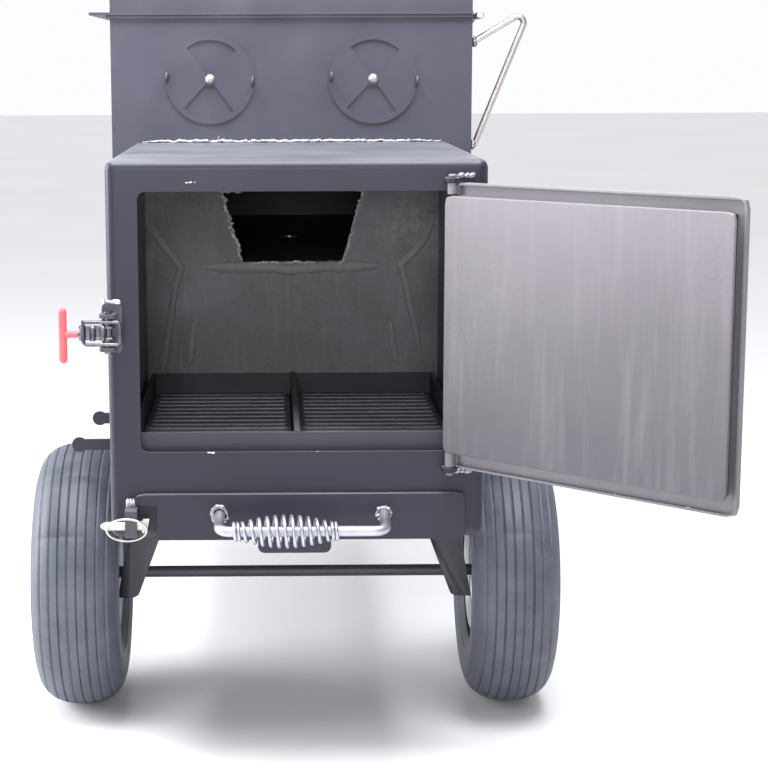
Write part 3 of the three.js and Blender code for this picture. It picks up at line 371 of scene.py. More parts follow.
CHARCOAL = (0.024, 0.0222, 0.037)
FINISHES = {
    # The casing's dust is set high, so that its roof also takes the painted top light.
    "casing": paint("casing_paint", CHARCOAL, 0.36, dust=0.42, sheen=0.3),
    "chamber": paint("chamber_paint", (0.046, 0.0435, 0.066), 0.4),
    "door": paint("door_paint", (0.20, 0.188, 0.206), 0.36),
    "lining": lining_paint("door_lining_paint"),
    "dark": paint("shaded_paint", (0.02, 0.019, 0.024), 0.5, dust=0.05),
    "rail": paint("grate_frame_paint", (0.036, 0.034, 0.05), 0.45, dust=0.2),
    "frame": paint("frame_paint", (0.062, 0.06, 0.078), 0.42, dust=0.12),
    "steel": stained_steel("firebox_steel"),
    "weld": weld_metal("weld_bead"),
    "dull_weld": weld_metal("dull_weld_bead", 0.45),
    "heat": heat_tint_and_painted_light("heat_tint_and_painted_light"),
    "slag": torch_slag("torch_slag"),
    "oiled": plated("oiled_bar", (0.50, 0.46, 0.47), 0.36),
    "pale_zinc": plated("yellow_zinc", (0.50, 0.495, 0.455), 0.44),
    "smoked": plated("smoked_chrome", (0.10, 0.10, 0.125), 0.25),
    "cast": cast_iron("cast_grate_iron"),
    "nickel": plated("satin_nickel", (0.42, 0.42, 0.47), 0.46, tarnish=(0.44, 0.44, 0.5)),
    "zinc": plated("bright_zinc", (0.82, 0.81, 0.77), 0.34),
    "stainless": plated("grate_stainless", (0.55, 0.55, 0.56), 0.3, grain=0.4),
    "chrome": plated("latch_chrome", (0.15, 0.15, 0.18), 0.2),
    "rubber": rubber("tyre_rubber"),
    "red": vinyl("red_vinyl", (0.86, 0.10, 0.12)),
    "wool": wool_fibre("mineral_wool"),
    "rim": enamel("rim_enamel", (0.44, 0.44, 0.47)),
    "dial": enamel("dial_enamel", (0.85, 0.85, 0.82)),
}


# ---------------------------------------------------------------- meshes
def mesh_of(points, faces, name="mesh"):
    mesh = bpy.data.meshes.new(name)
    mesh.from_pydata([tuple(p) for p in points], [], faces)
    return mesh


def piece(name, mesh, finish, node, replaces=(), sharp=32, soften=True, moved=None):
    """A finished piece from a mesh in millimetres. It rides with a CAD node's body and has its slot."""
    if moved is not None:
        mesh.transform(moved)
    mesh.transform(TO_ROW)
    mesh.update()
    mesh.shade_smooth()
    mesh.set_sharp_from_angle(angle=math.radians(sharp))
    mesh.name = name
    obj = bpy.data.objects.new(name, mesh)
    bpy.context.scene.collection.objects.link(obj)
    mesh.materials.clear()
    mesh.materials.append(FINISHES[finish])
    if soften:
        normals = obj.modifiers.new("normals", "WEIGHTED_NORMAL")
        normals.keep_sharp = True
    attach(obj, BODY_OF[node])
    if replaces:
        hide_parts(*replaces)
    return obj


def stand_for(node, mesh, finish, **options):
    """A finished piece that stands for the CAD node of its own name."""
    return piece(f"{node}_look", mesh, finish, node, replaces=(node,), **options)


def rounded(mesh, width, segments=2, angle=35, clamp=True):
    """The mesh with its sharp edges rounded over by a width."""
    bm = bmesh.new()
    bm.from_mesh(mesh)
    bmesh.ops.remove_doubles(bm, verts=bm.verts, dist=1e-4)
    bmesh.ops.dissolve_limit(bm, angle_limit=math.radians(0.3), verts=bm.verts, edges=bm.edges)
    limit = math.radians(angle)
    edges = [e for e in bm.edges if len(e.link_faces) == 2 and e.calc_face_angle(0) > limit]
    bmesh.ops.bevel(bm, geom=edges, offset=width, segments=segments, profile=0.5, affect="EDGES",
                    clamp_overlap=clamp)
    bm.to_mesh(mesh)
    bm.free()
    return mesh


def cad_mesh(node):
    """A copy of a CAD node's mesh, in millimetres."""
    mesh = frame["nodes"][node].data.copy()
    mesh.transform(FROM_ROW)
    return mesh


def refined(node, finish, width=0.6, **options):
    """Stands for a CAD node of sheet or bar, with its edges rounded over."""
    return stand_for(node, rounded(cad_mesh(node), width), finish, **options)


def merged(*meshes):
    """One mesh of several."""
    bm = bmesh.new()
    for mesh in meshes:
        bm.from_mesh(mesh)
    result = bpy.data.meshes.new("merged")
    bm.to_mesh(result)
    bm.free()
    return result


def block(low, high, width=0.0, segments=3):
    """A box between two corners, with all its edges rounded over."""
    corners = [(x, y, z) for z in (low[2], high[2]) for y in (low[1], high[1]) for x in (low[0], high[0])]
    faces = [(0, 2, 3, 1), (4, 5, 7, 6), (0, 1, 5, 4), (2, 6, 7, 3), (0, 4, 6, 2), (1, 3, 7, 5)]
    mesh = mesh_of(corners, faces)
    return rounded(mesh, width, segments) if width else mesh


def rect_outline(a0, a1, b0, b1, radius, steps=8):
    """A rectangle's outline with round corners, anticlockwise."""
    points = []
    for (a, b), start in (((a1 - radius, b0 + radius), -90), ((a1 - radius, b1 - radius), 0),
                          ((a0 + radius, b1 - radius), 90), ((a0 + radius, b0 + radius), 180)):
        for i in range(steps + 1):
            turn = math.radians(start + 90 * i / steps)
            points.append((a + radius * math.cos(turn), b + radius * math.sin(turn)))
    return points


def fan_outline(a, b, inner, outer, centre, half, steps=18):
    """A ring sector's outline, anticlockwise, its angles in degrees."""
    turns = [math.radians(centre - half + 2 * half * i / steps) for i in range(steps + 1)]
    rim = [(a + outer * math.cos(t), b + outer * math.sin(t)) for t in turns]
    return rim + [(a + inner * math.cos(t), b + inner * math.sin(t)) for t in reversed(turns)]


def prism(outline, axis, start, end):
    """A solid between two places along an axis. The outline is in (X, Z), (Y, Z) or (X, Y)."""
    lay = {"Y": lambda a, b, c: (a, c, b), "X": lambda a, b, c: (c, a, b), "Z": lambda a, b, c: (a, b, c)}[axis]
    count = len(outline)
    points = [lay(a, b, c) for c in (start, end) for a, b in outline]
    sides = [(i, (i + 1) % count, (i + 1) % count + count, i + count) for i in range(count)]
    mesh = mesh_of(points, [tuple(range(count))[::-1], tuple(range(count, 2 * count)), *sides])
    bm = bmesh.new()
    bm.from_mesh(mesh)
    bmesh.ops.recalc_face_normals(bm, faces=bm.faces)
    bm.to_mesh(mesh)
    bm.free()
    return mesh


def carved(mesh, *tools):
    """The mesh with each tool's volume cut away."""
    body = bpy.data.objects.new("carving", mesh)
    cutters = [bpy.data.objects.new("cutter", tool) for tool in tools]
    for obj in (body, *cutters):
        bpy.context.scene.collection.objects.link(obj)
    for cutter in cutters:
        step = body.modifiers.new("cut", "BOOLEAN")
        step.operation = "DIFFERENCE"
        step.solver = "EXACT"
        step.object = cutter
    result = bpy.data.meshes.new_from_object(body.evaluated_get(bpy.context.evaluated_depsgraph_get()))
    for obj in (body, *cutters):
        bpy.data.objects.remove(obj)
    return result


def turned(profile, sides=64, axis="Z", centre=(0, 0, 0)):
    """A profile of (radius, place along the axis) turned about an axis, closed where it meets the axis."""
    points = []
    rows = []
    for radius, along in profile:
        if radius < 1e-6:
            rows.append([len(points)] * sides)
            points.append((0, 0, along))
            continue
        rows.append(list(range(len(points), len(points) + sides)))
        for i in range(sides):
            turn = 2 * math.pi * i / sides
            points.append((radius * math.cos(turn), radius * math.sin(turn), along))
    faces = []
    for low, high in zip(rows, rows[1:]):
        for i in range(sides):
            ring = (low[i], low[(i + 1) % sides], high[(i + 1) % sides], high[i])
            faces.append(tuple(dict.fromkeys(ring)))
    mesh = mesh_of(points, [face for face in faces if len(face) > 2])
    turn = {"Z": Matrix.Identity(4), "X": Matrix.Rotation(math.pi / 2, 4, "Y"),
            "Y": Matrix.Rotation(-math.pi / 2, 4, "X")}[axis]
    mesh.transform(Matrix.Translation(centre) @ turn)
    bm = bmesh.new()
    bm.from_mesh(mesh)
    bmesh.ops.remove_doubles(bm, verts=bm.verts, dist=1e-5)
    bmesh.ops.recalc_face_normals(bm, faces=bm.faces)
    bm.to_mesh(mesh)
    bm.free()
    return mesh


def tube(path, radius, sides=16, closed=False, ends=True):
    """A round bar along points. The radius is a number or a function of the share of the way."""
    path = [Vector(p) for p in path]
    count = len(path)
    radius_at = radius if callable(radius) else lambda share: radius
    points = []
    side = None
    for i, here in enumerate(path):
        before = path[i - 1] if i or closed else here
        after = path[(i + 1) % count] if i + 1 < count or closed else here
        ahead = (after - before).normalized()
        if side is None:
            side = ahead.orthogonal().normalized()
        side = (side - ahead * side.dot(ahead)).normalized()
        other = ahead.cross(side)
        r = radius_at(i / (count - 1))
        for k in range(sides):
            turn = 2 * math.pi * k / sides
            points.append(here + side * (r * math.cos(turn)) + other * (r * math.sin(turn)))
    faces = []
    for i in range(count if closed else count - 1):
        a, b = i * sides, ((i + 1) % count) * sides
        faces += [(a + k, a + (k + 1) % sides, b + (k + 1) % sides, b + k) for k in range(sides)]
    if ends and not closed:
        faces += [tuple(range(sides))[::-1], tuple(range((count - 1) * sides, count * sides))]
    return mesh_of(points, faces)


def bent(corners, bend, steps=10):
    """Points along straight runs joined by round bends of one radius."""
    corners = [Vector(c) for c in corners]
    points = [corners[0]]
    for before, corner, after in zip(corners, corners[1:], corners[2:]):
        back = (before - corner).normalized()
        ahead = (after - corner).normalized()
        half = back.angle(ahead) / 2
        centre = corner + (back + ahead).normalized() * (bend / math.sin(half))
        enter = corner + back * (bend / math.tan(half))
        leave = corner + ahead * (bend / math.tan(half))
        arm = enter - centre
        turn = Matrix.Rotation((math.pi - 2 * half) / steps, 3, arm.cross(leave - centre))
        for _ in range(steps + 1):
            points.append(centre + arm)
            arm = turn @ arm
    points.append(corners[-1])
    return points


def plate(x0, x1, z0, z1, corner, edge, face, back, cells=24, relief=None):
    """A plate facing -Y at Y = face, with round corners and a rounded rim. Relief moves its face along Y."""
    half = Vector(((x1 - x0) / 2, (z1 - z0) / 2))
    middle = Vector(((x1 + x0) / 2, (z1 + z0) / 2))

    def rows(length):
        rim = [0, 0.08, 0.3, 0.62, 1]
        low = [-length + edge * r for r in rim]
        inner = [-length + edge + (2 * length - 2 * edge) * i / cells for i in range(1, cells)]
        return low + inner + [-value for value in reversed(low)]

    def place(a, b):
        da = abs(a) - (half.x - corner)
        db = abs(b) - (half.y - corner)
        if da > 0 and db > 0:
            pull = max(da, db) / math.hypot(da, db)
            a = math.copysign(half.x - corner + da * pull, a)
            b = math.copysign(half.y - corner + db * pull, b)
        return a, b

    columns, lines = rows(half.x), rows(half.y)
    points = []
    for b in lines:
        for a in columns:
            near = min(half.x - abs(a), half.y - abs(b))
            drop = edge - math.sqrt(max(edge * edge - max(edge - near, 0) ** 2, 0))
            x, z = place(a, b)
            shift = relief(x + middle.x, z + middle.y) if relief and near > edge else 0
            points.append((x + middle.x, face + drop + shift, z + middle.y))
    width = len(columns)
    faces = [(j * width + i, j * width + i + 1, (j + 1) * width + i + 1, (j + 1) * width + i)
             for j in range(len(lines) - 1) for i in range(width - 1)]
    rim = list(range(width)) + [j * width + width - 1 for j in range(1, len(lines))]
    rim += [(len(lines) - 1) * width + i for i in reversed(range(width - 1))]
    rim += [j * width for j in reversed(range(1, len(lines) - 1))]
    start = len(points)
    points += [(points[i][0], back, points[i][2]) for i in rim]
    count = len(rim)
    faces += [(rim[i], start + i, start + (i + 1) % count, rim[(i + 1) % count]) for i in range(count)]
    faces.append(tuple(range(start, start + count))[::-1])
    mesh = mesh_of(points, faces)
    bm = bmesh.new()
    bm.from_mesh(mesh)
    bmesh.ops.recalc_face_normals(bm, faces=bm.faces)
    bm.to_mesh(mesh)
    bm.free()
    return mesh


def bead(path, radius, ripple=4.0, rough=0.25, flat=1.0, sides=10):
    """A weld bead along points: overlapping ripples, uneven width, pressed flat by a share along Y."""
    corners = [Vector(p) for p in path]
    points = []
    for a, b in zip(corners, corners[1:]):
        count = max(2, int((b - a).length / (ripple / 4)))
        points += [a.lerp(b, i / count) for i in range(count)]
    points.append(corners[-1])
    total = len(points) - 1

    def size(share):
        wave = abs(math.sin(share * total * math.pi / 4))
        drift = noise.noise((corners[0] + Vector((share * total * 0.21, 3, 7))) * 1.7)
        tip = min(1, 6 * min(share, 1 - share) + 0.35)
        return radius * tip * (0.8 + 0.2 * wave + rough * drift)

    wobble = [p + noise.noise_vector(p * 0.11) * radius * rough * 1.6 for p in points]
    mesh = tube(wobble, size, sides)
    if flat != 1.0:
        middle = sum(p.y for p in wobble) / len(wobble)
        mesh.transform(Matrix.Translation((0, middle, 0)) @ Matrix.Diagonal((1, flat, 1, 1))
                       @ Matrix.Translation((0, -middle, 0)))
    return mesh


def circle(radius, steps=96, a=0.0, b=0.0):
    turns = [2 * math.pi * i / steps for i in range(steps)]
    return [(a + radius * math.cos(t), b + radius * math.sin(t)) for t in turns]


def keep(node, finish):
    """A CAD node that stays, with its own finish."""
    materials = frame["nodes"][node].data.materials
    materials.clear()
    materials.append(FINISHES[finish])


def weld(name, path, radius, node, finish="weld", **options):
    return piece(name, bead(path, radius, **options), finish, node, sharp=60)


# ---------------------------------------------------------------- firebox
OPENING = {"half": 190, "low": 428.6, "high": 744.3, "corner": 10}
DRAWER_MOUTH = {"half": 167, "high": 369}
PORT = {"low": 611, "high": 713, "half_low": 71.5, "half_high": 101}
DAMPER = {"r": 63, "vent": 55, "inner": 10, "half": 39.5, "plate": 3, "ear": 28, "long_ear": 43, "hole": 4.1,
          "side_tip": 9.5, "end_tip": 7.2}
SIDE_DAMPER = {"place": (SHELL[0].x - 0.3, 132, 430), "turn": 5}
END_DAMPER = {"x": 116, "z": 871.6, "turn": 3}


def casing():
    low, high = SHELL
    outer = block((low.x, low.y, low.z), (high.x, high.y + 2 * BEND, high.z), BEND, 8)
    rear = block((low.x - 9, high.y, low.z - 9), (high.x + 9, high.y + 60, high.z + 9))
    inner = block((low.x + SHEET, low.y + SHEET, low.z + SHEET), (high.x - SHEET, high.y + 40, high.z - SHEET),
                  BEND - SHEET, 6)
    half, corner = OPENING["half"], OPENING["corner"]
    mouth = prism(rect_outline(-half, half, OPENING["low"], OPENING["high"], corner), "Y", low.y - 9, low.y + 15)
    drawer_half = DRAWER_MOUTH["half"]
    drawer = block((-drawer_half, low.y - 9, low.z + SHEET), (drawer_half, low.y + 15, DRAWER_MOUTH["high"]))
    _, y, z = SIDE_DAMPER["place"]
    vents = [prism(fan_outline(y, z, DAMPER["inner"], DAMPER["vent"], centre, DAMPER["half"]), "X",
                   low.x - 9, low.x + 9) for centre in (0, 180)]
    bolt = prism(circle(DAMPER["hole"], 24, y, z), "X", low.x - 9, low.x + 9)
    return rounded(carved(outer, rear, inner, mouth, drawer, bolt, *vents), 0.7, 2)


def torn(a, b, depth, step=2.6):
    """Points from a to b in (X, Z) along an edge burnt by a torch: small uneven bites to both sides."""
    a, b = Vector(a), Vector(b)
    count = int((b - a).length / step)
    across = Vector((b.y - a.y, a.x - b.x)).normalized()
    points = []
    for i in range(count):
        at = a.lerp(b, i / count)
        bite = noise.noise(Vector((at.x * 0.35, at.y * 0.35, 4))) + 0.6 * noise.noise(Vector((at.x, at.y, 9)))
        points.append(at + across * bite * depth)
    return points


def port_edge(grow=0.0):
    low, high = PORT["low"] - grow, PORT["high"] + grow
    a, b = PORT["half_low"] + grow, PORT["half_high"] + grow
    corners = [(-a, low), (a, low), (b, high), (-b, high)]
    points = []
    for start, end, depth in zip(corners, corners[1:] + corners[:1], (1.3, 2.6, 1.0, 2.6)):
        points += torn(start, end, depth)
    return points


def back_wall():
    low, high = BACK_PLATE
    outline = rect_outline(low.x, high.x, low.z, high.z, BEND)
    sheet = prism(outline, "Y", low.y, high.y)
    return carved(sheet, prism([tuple(p) for p in port_edge()], "Y", low.y - 9, high.y + 9))


stand_for("firebox_shell", casing(), "casing")
refined("firebox_liner", "steel", 0.5)
keep("firebox_insulation", "wool")
stand_for("firebox_back_plate", back_wall(), "steel", sharp=25)
WALL_FACE = BACK_PLATE[0].y
edge = port_edge(1.2)
third = len(edge) // 12
for name, points, size in (("sill", edge[:int(third * 2.6)], 1.9), ("right", edge[third * 3:third * 6], 1.8),
                           ("left", edge[int(third * 9.6):], 3.0)):
    weld(f"port_slag_{name}", [(p.x, WALL_FACE - 0.2, p.y) for p in points], size, "firebox_back_plate",
         finish="slag", ripple=2.6, rough=0.8)
# Welds on the far side of the wall show through it as raised, heat-marked lines, with painted highlights and painted
# shade on them.
GHOSTS = {
    "cross": (9.0, (-126, 604), (-40, 603), (0, 600), (40, 603), (126, 605)),
    "left": (6.0, (-217, 680), (-186, 636), (-161, 604), (-169, 580), (-189, 447)),
    "right": (6.0, (206, 680), (190, 640), (157, 606), (166, 571), (188, 468)),
    "short_left": (5.0, (-143, 523), (-150, 462)),
    "short_right": (5.0, (142, 526), (146, 492), (153, 458)),
}
for name, (width, *places) in GHOSTS.items():
    weld(f"wall_line_{name}", [(x, WALL_FACE, z) for x, z in places], width, "firebox_back_plate",
         finish="heat", ripple=14, rough=0.12, flat=0.3)
weld("roof_weld", [(-213, CHAMBER_NEAR - 2.4, ROOF + 1.6), (213, CHAMBER_NEAR - 2.4, ROOF + 1.6)], 3.3, "chamber_tub",
     ripple=8, rough=0.38, finish="dull_weld")
weld("roof_spatter", [(-105, CHAMBER_NEAR - 3, ROOF + 2), (-103.5, CHAMBER_NEAR - 4, ROOF + 9)], 1.8, "chamber_tub",
     rough=0.5, finish="dull_weld")
for side, word in ((-1, "left"), (1, "right")):
    weld(f"side_weld_{word}", [(side * (HALF_SHELL + 0.5), CHAMBER_NEAR - 1.5, ROOF - 14),
                               (side * (HALF_SHELL + 0.5), CHAMBER_NEAR - 1.5, 700)], 2.6, "chamber_tub",
         ripple=6, rough=0.6, finish="dull_weld")
for i, (x, z, length) in enumerate(((-132, 755.4, 7), (-123, 755.2, 4), (-110, 427.6, 10), (-47, 427.6, 5),
                                    (20, 427.6, 6))):
    weld(f"paint_chip_{i}", [(x, FRONT + 0.1, z), (x + length, FRONT + 0.1, z + 0.4)], 0.9, "firebox_shell",
         rough=0.9, flat=0.25)


# ---------------------------------------------------------------- fire grate
def grate_bars(node, bar=12, pitch=28.5, rail=10):
    """Cast bars across one half of the grate, between two side rails, with rounded tops."""
    low, high = span(node)
    parts = [block((x, low.y, low.z), (x + rail, high.y, high.z - 1.5), 2.2) for x in (low.x, high.x - rail)]
    count = int((high.y - low.y - bar) / pitch) + 1
    for i in range(count):
        y = low.y + i * pitch
        parts.append(block((low.x + 4, y, low.z), (high.x - 4, y + bar, high.z), 3.2, 4))
    parts.append(block((low.x + 4, high.y - bar, low.z), (high.x - 4, high.y, high.z), 3.2, 4))
    return merged(*parts)


refined("fire_grate_frame", "rail", 1.3)
for word in ("left", "right"):
    stand_for(f"fire_grate_panel_{word}", grate_bars(f"fire_grate_panel_{word}"), "cast")


# ---------------------------------------------------------------- firebox door
# Drawn closed about its hinge: u runs from the hinge along the leaf, the lining faces -Y.
LEAF = DOOR @ Matrix.Rotation(math.pi, 4, "Z")
PAN = {"u0": 2.9, "u1": 391.5, "z0": 411.3, "z1": 754.9, "corner": 10, "outside": 9.9, "skin": 6.9, "rim": 1.9}
LINING = {"u0": -2.2, "u1": 386.5, "z0": 431.2, "z1": 739.8, "corner": 8, "face": -12.1, "back": 6.6,
          "sheet": 3.2}


def door_dents(u, z):
    """A hand-flattened sheet: slow waves and three shallow dents."""
    wave = 0.5 * noise.noise(Vector((u * 0.008, z * 0.008, 2)))
    ripple = 0.1 * noise.noise(Vector((u * 0.03, z * 0.03, 5)))
    dents = 0.0
    for du, dz, size, depth in ((150, 610, 26, 0.7), (262, 560, 34, 0.9), (90, 500, 30, 0.5)):
        dents += depth * math.exp(-((u - du) ** 2 + (z - dz) ** 2) / (2 * size ** 2))
    return wave + ripple + dents


def door_tray():
    u0, u1, z0, z1 = (PAN[k] for k in ("u0", "u1", "z0", "z1"))
    tray = plate(-u1, -u0, z0, z1, PAN["corner"], 1.4, -PAN["outside"], -PAN["rim"], 30)
    hollow = prism(rect_outline(-u1 + SHEET, -u0 - SHEET, z0 + SHEET, z1 - SHEET, 7), "Y", -PAN["skin"], 20)
    clear = block((-LINING["u1"] - 0.3, -PAN["skin"], LINING["z0"] - 0.3), (10, 20, LINING["z1"] + 0.3))
    tray = rounded(carved(tray, hollow, clear), 0.5, 2)
    parts = [tray]
    for low, high in ((z0 + 0.3, LINING["z0"] - 1), (LINING["z1"] + 1, z1 - 0.3)):
        barrel = [(3.3, low), (5.4, low), (6, low + 0.6), (6, high - 0.6), (5.4, high), (3.3, high), (3.3, low)]
        parts.append(turned(barrel, 40))
        parts.append(block((-9, -PAN["skin"] - 1, low), (-4.5, -3.5, high), 0.4))
    return merged(*parts)


lining = plate(LINING["u0"], LINING["u1"], LINING["z0"], LINING["z1"], LINING["corner"], 1.6, LINING["face"],
               LINING["face"] + LINING["sheet"], 44, door_dents)
core = block((LINING["u0"] + 8, LINING["face"] + LINING["sheet"] + 0.2, LINING["z0"] + 3),
             (LINING["u1"] - 8, LINING["back"], LINING["z1"] - 3), 0.8)
stand_for("door_pan", door_tray(), "door", moved=DOOR)
stand_for("door_liner", lining, "lining", moved=LEAF)
piece("door_liner_core", core, "dark", "door_liner", moved=LEAF)
refined("door_keeper", "frame", 0.8)
for word in ("upper", "lower"):
    refined(f"hinge_tab_{word}", "casing", 0.8)
    refined(f"hinge_pin_{word}", "door", 0.6)
for word, z in (("upper", PAN["z1"] + 7.6), ("lower", PAN["z0"] - 7.6)):
    for i in range(3):
        x = HINGE.x + 11 + 6.5 * i
        weld(f"hinge_weld_{word}_{i}", [(x - 4.5, FRONT - 4, z - 2), (x + 4.5, FRONT - 1.5, z + 2)], 2.9,
             f"hinge_tab_{word}", ripple=9, rough=0.3, finish="dull_weld")
for i in range(9):
    u = 60 + 34 * i + 14 * noise.noise(Vector((i * 3.1, 2, 5)))
    length = 6 + 5 * noise.noise(Vector((i * 1.7, 8, 1)))
    piece(f"door_chip_{i}", bead([(-u, -PAN["rim"] - 1.4, PAN["z0"] + 1.6),
                                  (-u - length, -PAN["rim"] - 1.4, PAN["z0"] + 1.6)], 1.2, rough=0.9, flat=0.4),
          "weld", "door_pan", moved=DOOR)


# ---------------------------------------------------------------- ash drawer
HANDLE = {"rod": 6.35, "coil": 2.1, "turns": 15, "small": 12, "large": 20.5, "bend": 14}


def coil(length, per_turn=28):
    """The barrel coil grip along X from 0: two close turns at each end, the middle ones swelling."""
    turns, wire = HANDLE["turns"], HANDLE["coil"]
    ends = 2 * (2 * wire + 0.35)
    points = []
    for i in range(turns * per_turn + 1):
        turn = i / per_turn
        middle = min(max((turn - 2) / (turns - 4), 0), 1)
        r = HANDLE["small"] - wire + (HANDLE["large"] - HANDLE["small"]) * math.sin(math.pi * middle)
        if turn < 2:
            x = turn * ends / 2
        elif turn > turns - 2:
            x = length - (turns - turn) * ends / 2
        else:
            x = ends + (length - 2 * ends) * middle
        points.append((x, r * math.cos(2 * math.pi * turn), r * math.sin(2 * math.pi * turn)))
    return tube(points, wire, 12)


def foot_weld(name, foot, axis, radius, node):
    """A ring of weld round a bar's foot."""
    turns = [2 * math.pi * i / 24 for i in range(25)]
    put = {"Y": lambda a, b: (a, 0, b), "X": lambda a, b: (0, a, b), "Z": lambda a, b: (a, b, 0)}[axis]
    ring = [Vector(foot) + Vector(put(radius * math.cos(t), radius * math.sin(t))) for t in turns]
    return weld(name, ring, 3.3, node, ripple=6, rough=0.55, finish="dull_weld")


DRAWER = span("drawer_front")
DRAWER_BAR = span("drawer_handle_rod")
DRAWER_COIL = span("drawer_handle_spring")
PIN_NOTCH = {"reach": 25.8, "high": 364}


def drawer_plate():
    low, high = DRAWER
    face = plate(low.x, high.x, low.z, high.z, 8, 1.3, low.y, high.y, 40)
    notch = block((low.x - 9, low.y - 9, low.z - 9), (low.x + PIN_NOTCH["reach"], high.y + 9, PIN_NOTCH["high"]))
    return rounded(carved(face, notch), 0.8, 3)


refined("drawer_box", "steel", 0.4)
stand_for("drawer_front", drawer_plate(), "casing")
tab_low, tab_high = span("drawer_tab")
stand_for("drawer_tab", plate(tab_low.x, tab_high.x, tab_low.z, tab_high.z, 8, 1.2, tab_low.y, tab_high.y), "casing")
bar_x0, bar_x1 = DRAWER_BAR[0].x + HANDLE["rod"], DRAWER_BAR[1].x - HANDLE["rod"]
bar_y = DRAWER_BAR[0].y + HANDLE["rod"]
bar_z = (DRAWER_COIL[0].z + DRAWER_COIL[1].z) / 2
foot_y, foot_z = DRAWER[0].y - 1.4, DRAWER_BAR[1].z - HANDLE["rod"] - 0.6
bar_route = [(bar_x0, foot_y, foot_z), (bar_x0, bar_y, bar_z), (bar_x1, bar_y, bar_z), (bar_x1, foot_y, foot_z)]
stand_for("drawer_handle_rod", tube(bent(bar_route, HANDLE["bend"]), HANDLE["rod"], 28), "nickel", sharp=50)
stand_for("drawer_handle_spring", coil(DRAWER_COIL[1].x - DRAWER_COIL[0].x - 2 * HANDLE["coil"]), "nickel",
          moved=Matrix.Translation((DRAWER_COIL[0].x + HANDLE["coil"], bar_y, bar_z)))
for word, x in (("left", bar_x0), ("right", bar_x1)):
    foot_weld(f"drawer_handle_weld_{word}", (x, DRAWER[0].y - 1.2, foot_z), "Y", HANDLE["rod"] + 2, "drawer_front")


# ---------------------------------------------------------------- lynch pin
LYNCH = {"y": -16, "z": 341, "r": 5.4, "lug": 11.5}
pin_low, pin_high = span("lynch_pin")
ring_low, ring_high = span("lynch_ring")
tab = span("lynch_tab")


def lynch_pin():
    x0, r = pin_low.x, LYNCH["r"]
    x1 = pin_high.x - LYNCH["lug"] + 3
    shank = turned([(0, x0), (1.6, x0), (2.8, x0 + 0.8), (r, x0 + 5.6), (r, x1), (0, x1)],
                   40, "X", (0, LYNCH["y"], LYNCH["z"]))
    left, right, low, high = x1 - 3, pin_high.x, pin_low.z, pin_high.z
    kite = [(left + 1, high - 3), (left + 4, high), (right - 0.6, high), (right, high - 1), (right - 3, low + 4),
            (right - 7, low), (right - 8.4, low + 0.6), (left, LYNCH["z"] - 2)]
    lug = prism(kite[::-1], "Y", LYNCH["y"] - 3, LYNCH["y"] + 3)
    return merged(shank, rounded(lug, 1.4, 4))


def lynch_ring(wire=1.3):
    middle = (ring_low + ring_high) / 2
    half = (ring_high - ring_low) / 2 - Vector((wire, wire, wire)) * 0.9
    turns = [2 * math.pi * i / 80 for i in range(80)]
    return tube([middle + Vector((half.x * math.cos(t), -half.y * math.sin(t), half.z * math.sin(t)))
                 for t in turns], wire, 12, closed=True)


refined("lynch_tab", "frame", 1.0)
stand_for("lynch_pin", lynch_pin(), "pale_zinc")
stand_for("lynch_ring", lynch_ring(), "pale_zinc")
for i in range(3):
    lobe_x = tab[0].x + 2 + 3.3 * i
    weld(f"lynch_tab_weld_{i}", [(lobe_x, tab[1].y - 5, tab[1].z - 3), (lobe_x + 0.8, tab[1].y - 8, tab[1].z + 2),
                                 (lobe_x + 0.5, tab[1].y - 3, tab[1].z + 9)], 3.4, "lynch_tab", ripple=9, rough=0.3,
         finish="dull_weld")


# ---------------------------------------------------------------- door latch
LATCH = {"x": -226, "y": -14, "z": 578}
bracket = span("latch_bracket")
lever = span("latch_lever")
grip = span("latch_grip")


def latch_links():
    """The toggle's arm: two side links with rolled eyes, three cross rollers and the threaded stem."""
    parts = []
    for low in (lever[0].z + 0.6, lever[1].z - 3.6):
        link = rect_outline(-261, -218, LATCH["y"] - 6, LATCH["y"] + 5, 5)
        parts.append(rounded(prism(link, "Z", low, low + 3), 0.8, 3))
    parts.append(rounded(prism(rect_outline(-258, -222, LATCH["y"] - 2, LATCH["y"] + 4, 2), "Z",
                               lever[0].z + 2, lever[1].z - 2), 0.6, 2))
    for x in (-256, -244, -232):
        roller = [(0, lever[0].z), (3.4, lever[0].z), (4.2, lever[0].z + 1.2), (3.6, lever[0].z + 4),
                  (3.6, lever[1].z - 4), (4.2, lever[1].z - 1.2), (3.4, lever[1].z), (0, lever[1].z)]
        parts.append(turned(roller, 32, "Z", (x, LATCH["y"] - 5, 0)))
    stem = [(0, -273.5)]
    for i in range(7):
        stem += [(2.5, -273 + i * 1.6), (3, -272.2 + i * 1.6)]
    stem += [(3, -261), (0, -260)]
    parts.append(turned(stem, 24, "X", (0, LATCH["y"], LATCH["z"] - 2)))
    return merged(*parts)


def latch_handle():
    """A dipped T grip: its bar with domed ends and a neck that runs out onto the stem."""
    low, high = grip[0].z, grip[1].z
    dome = [(5 * math.sin(math.radians(a)), 5 * (1 - math.cos(math.radians(a)))) for a in range(0, 91, 10)]
    profile = [(r, low + h) for r, h in dome] + [(r, high - h) for r, h in reversed(dome)]
    neck = [(4.9, -281), (4.6, -277), (4.0, -272), (3.9, -267), (4.1, -263.6), (3.7, -262.6), (3.3, -262.5),
            (3.3, -274)]
    return merged(turned(profile, 40, "Z", (-280, LATCH["y"], 0)),
                  turned(neck, 40, "X", (0, LATCH["y"], LATCH["z"] - 2)))


def latch_hook(wire=2.2, bail_x=-255, bail_y=-21.5, reach=-211):
    low, high = LATCH["z"] - 13.5, LATCH["z"] + 13.5
    loop = bent([(bail_x, bail_y, high + 2), (bail_x, bail_y, low), (reach, bail_y, low), (reach, bail_y, high),
                 (bail_x + 1, bail_y, high)], 5)
    return tube(loop, wire, 16)


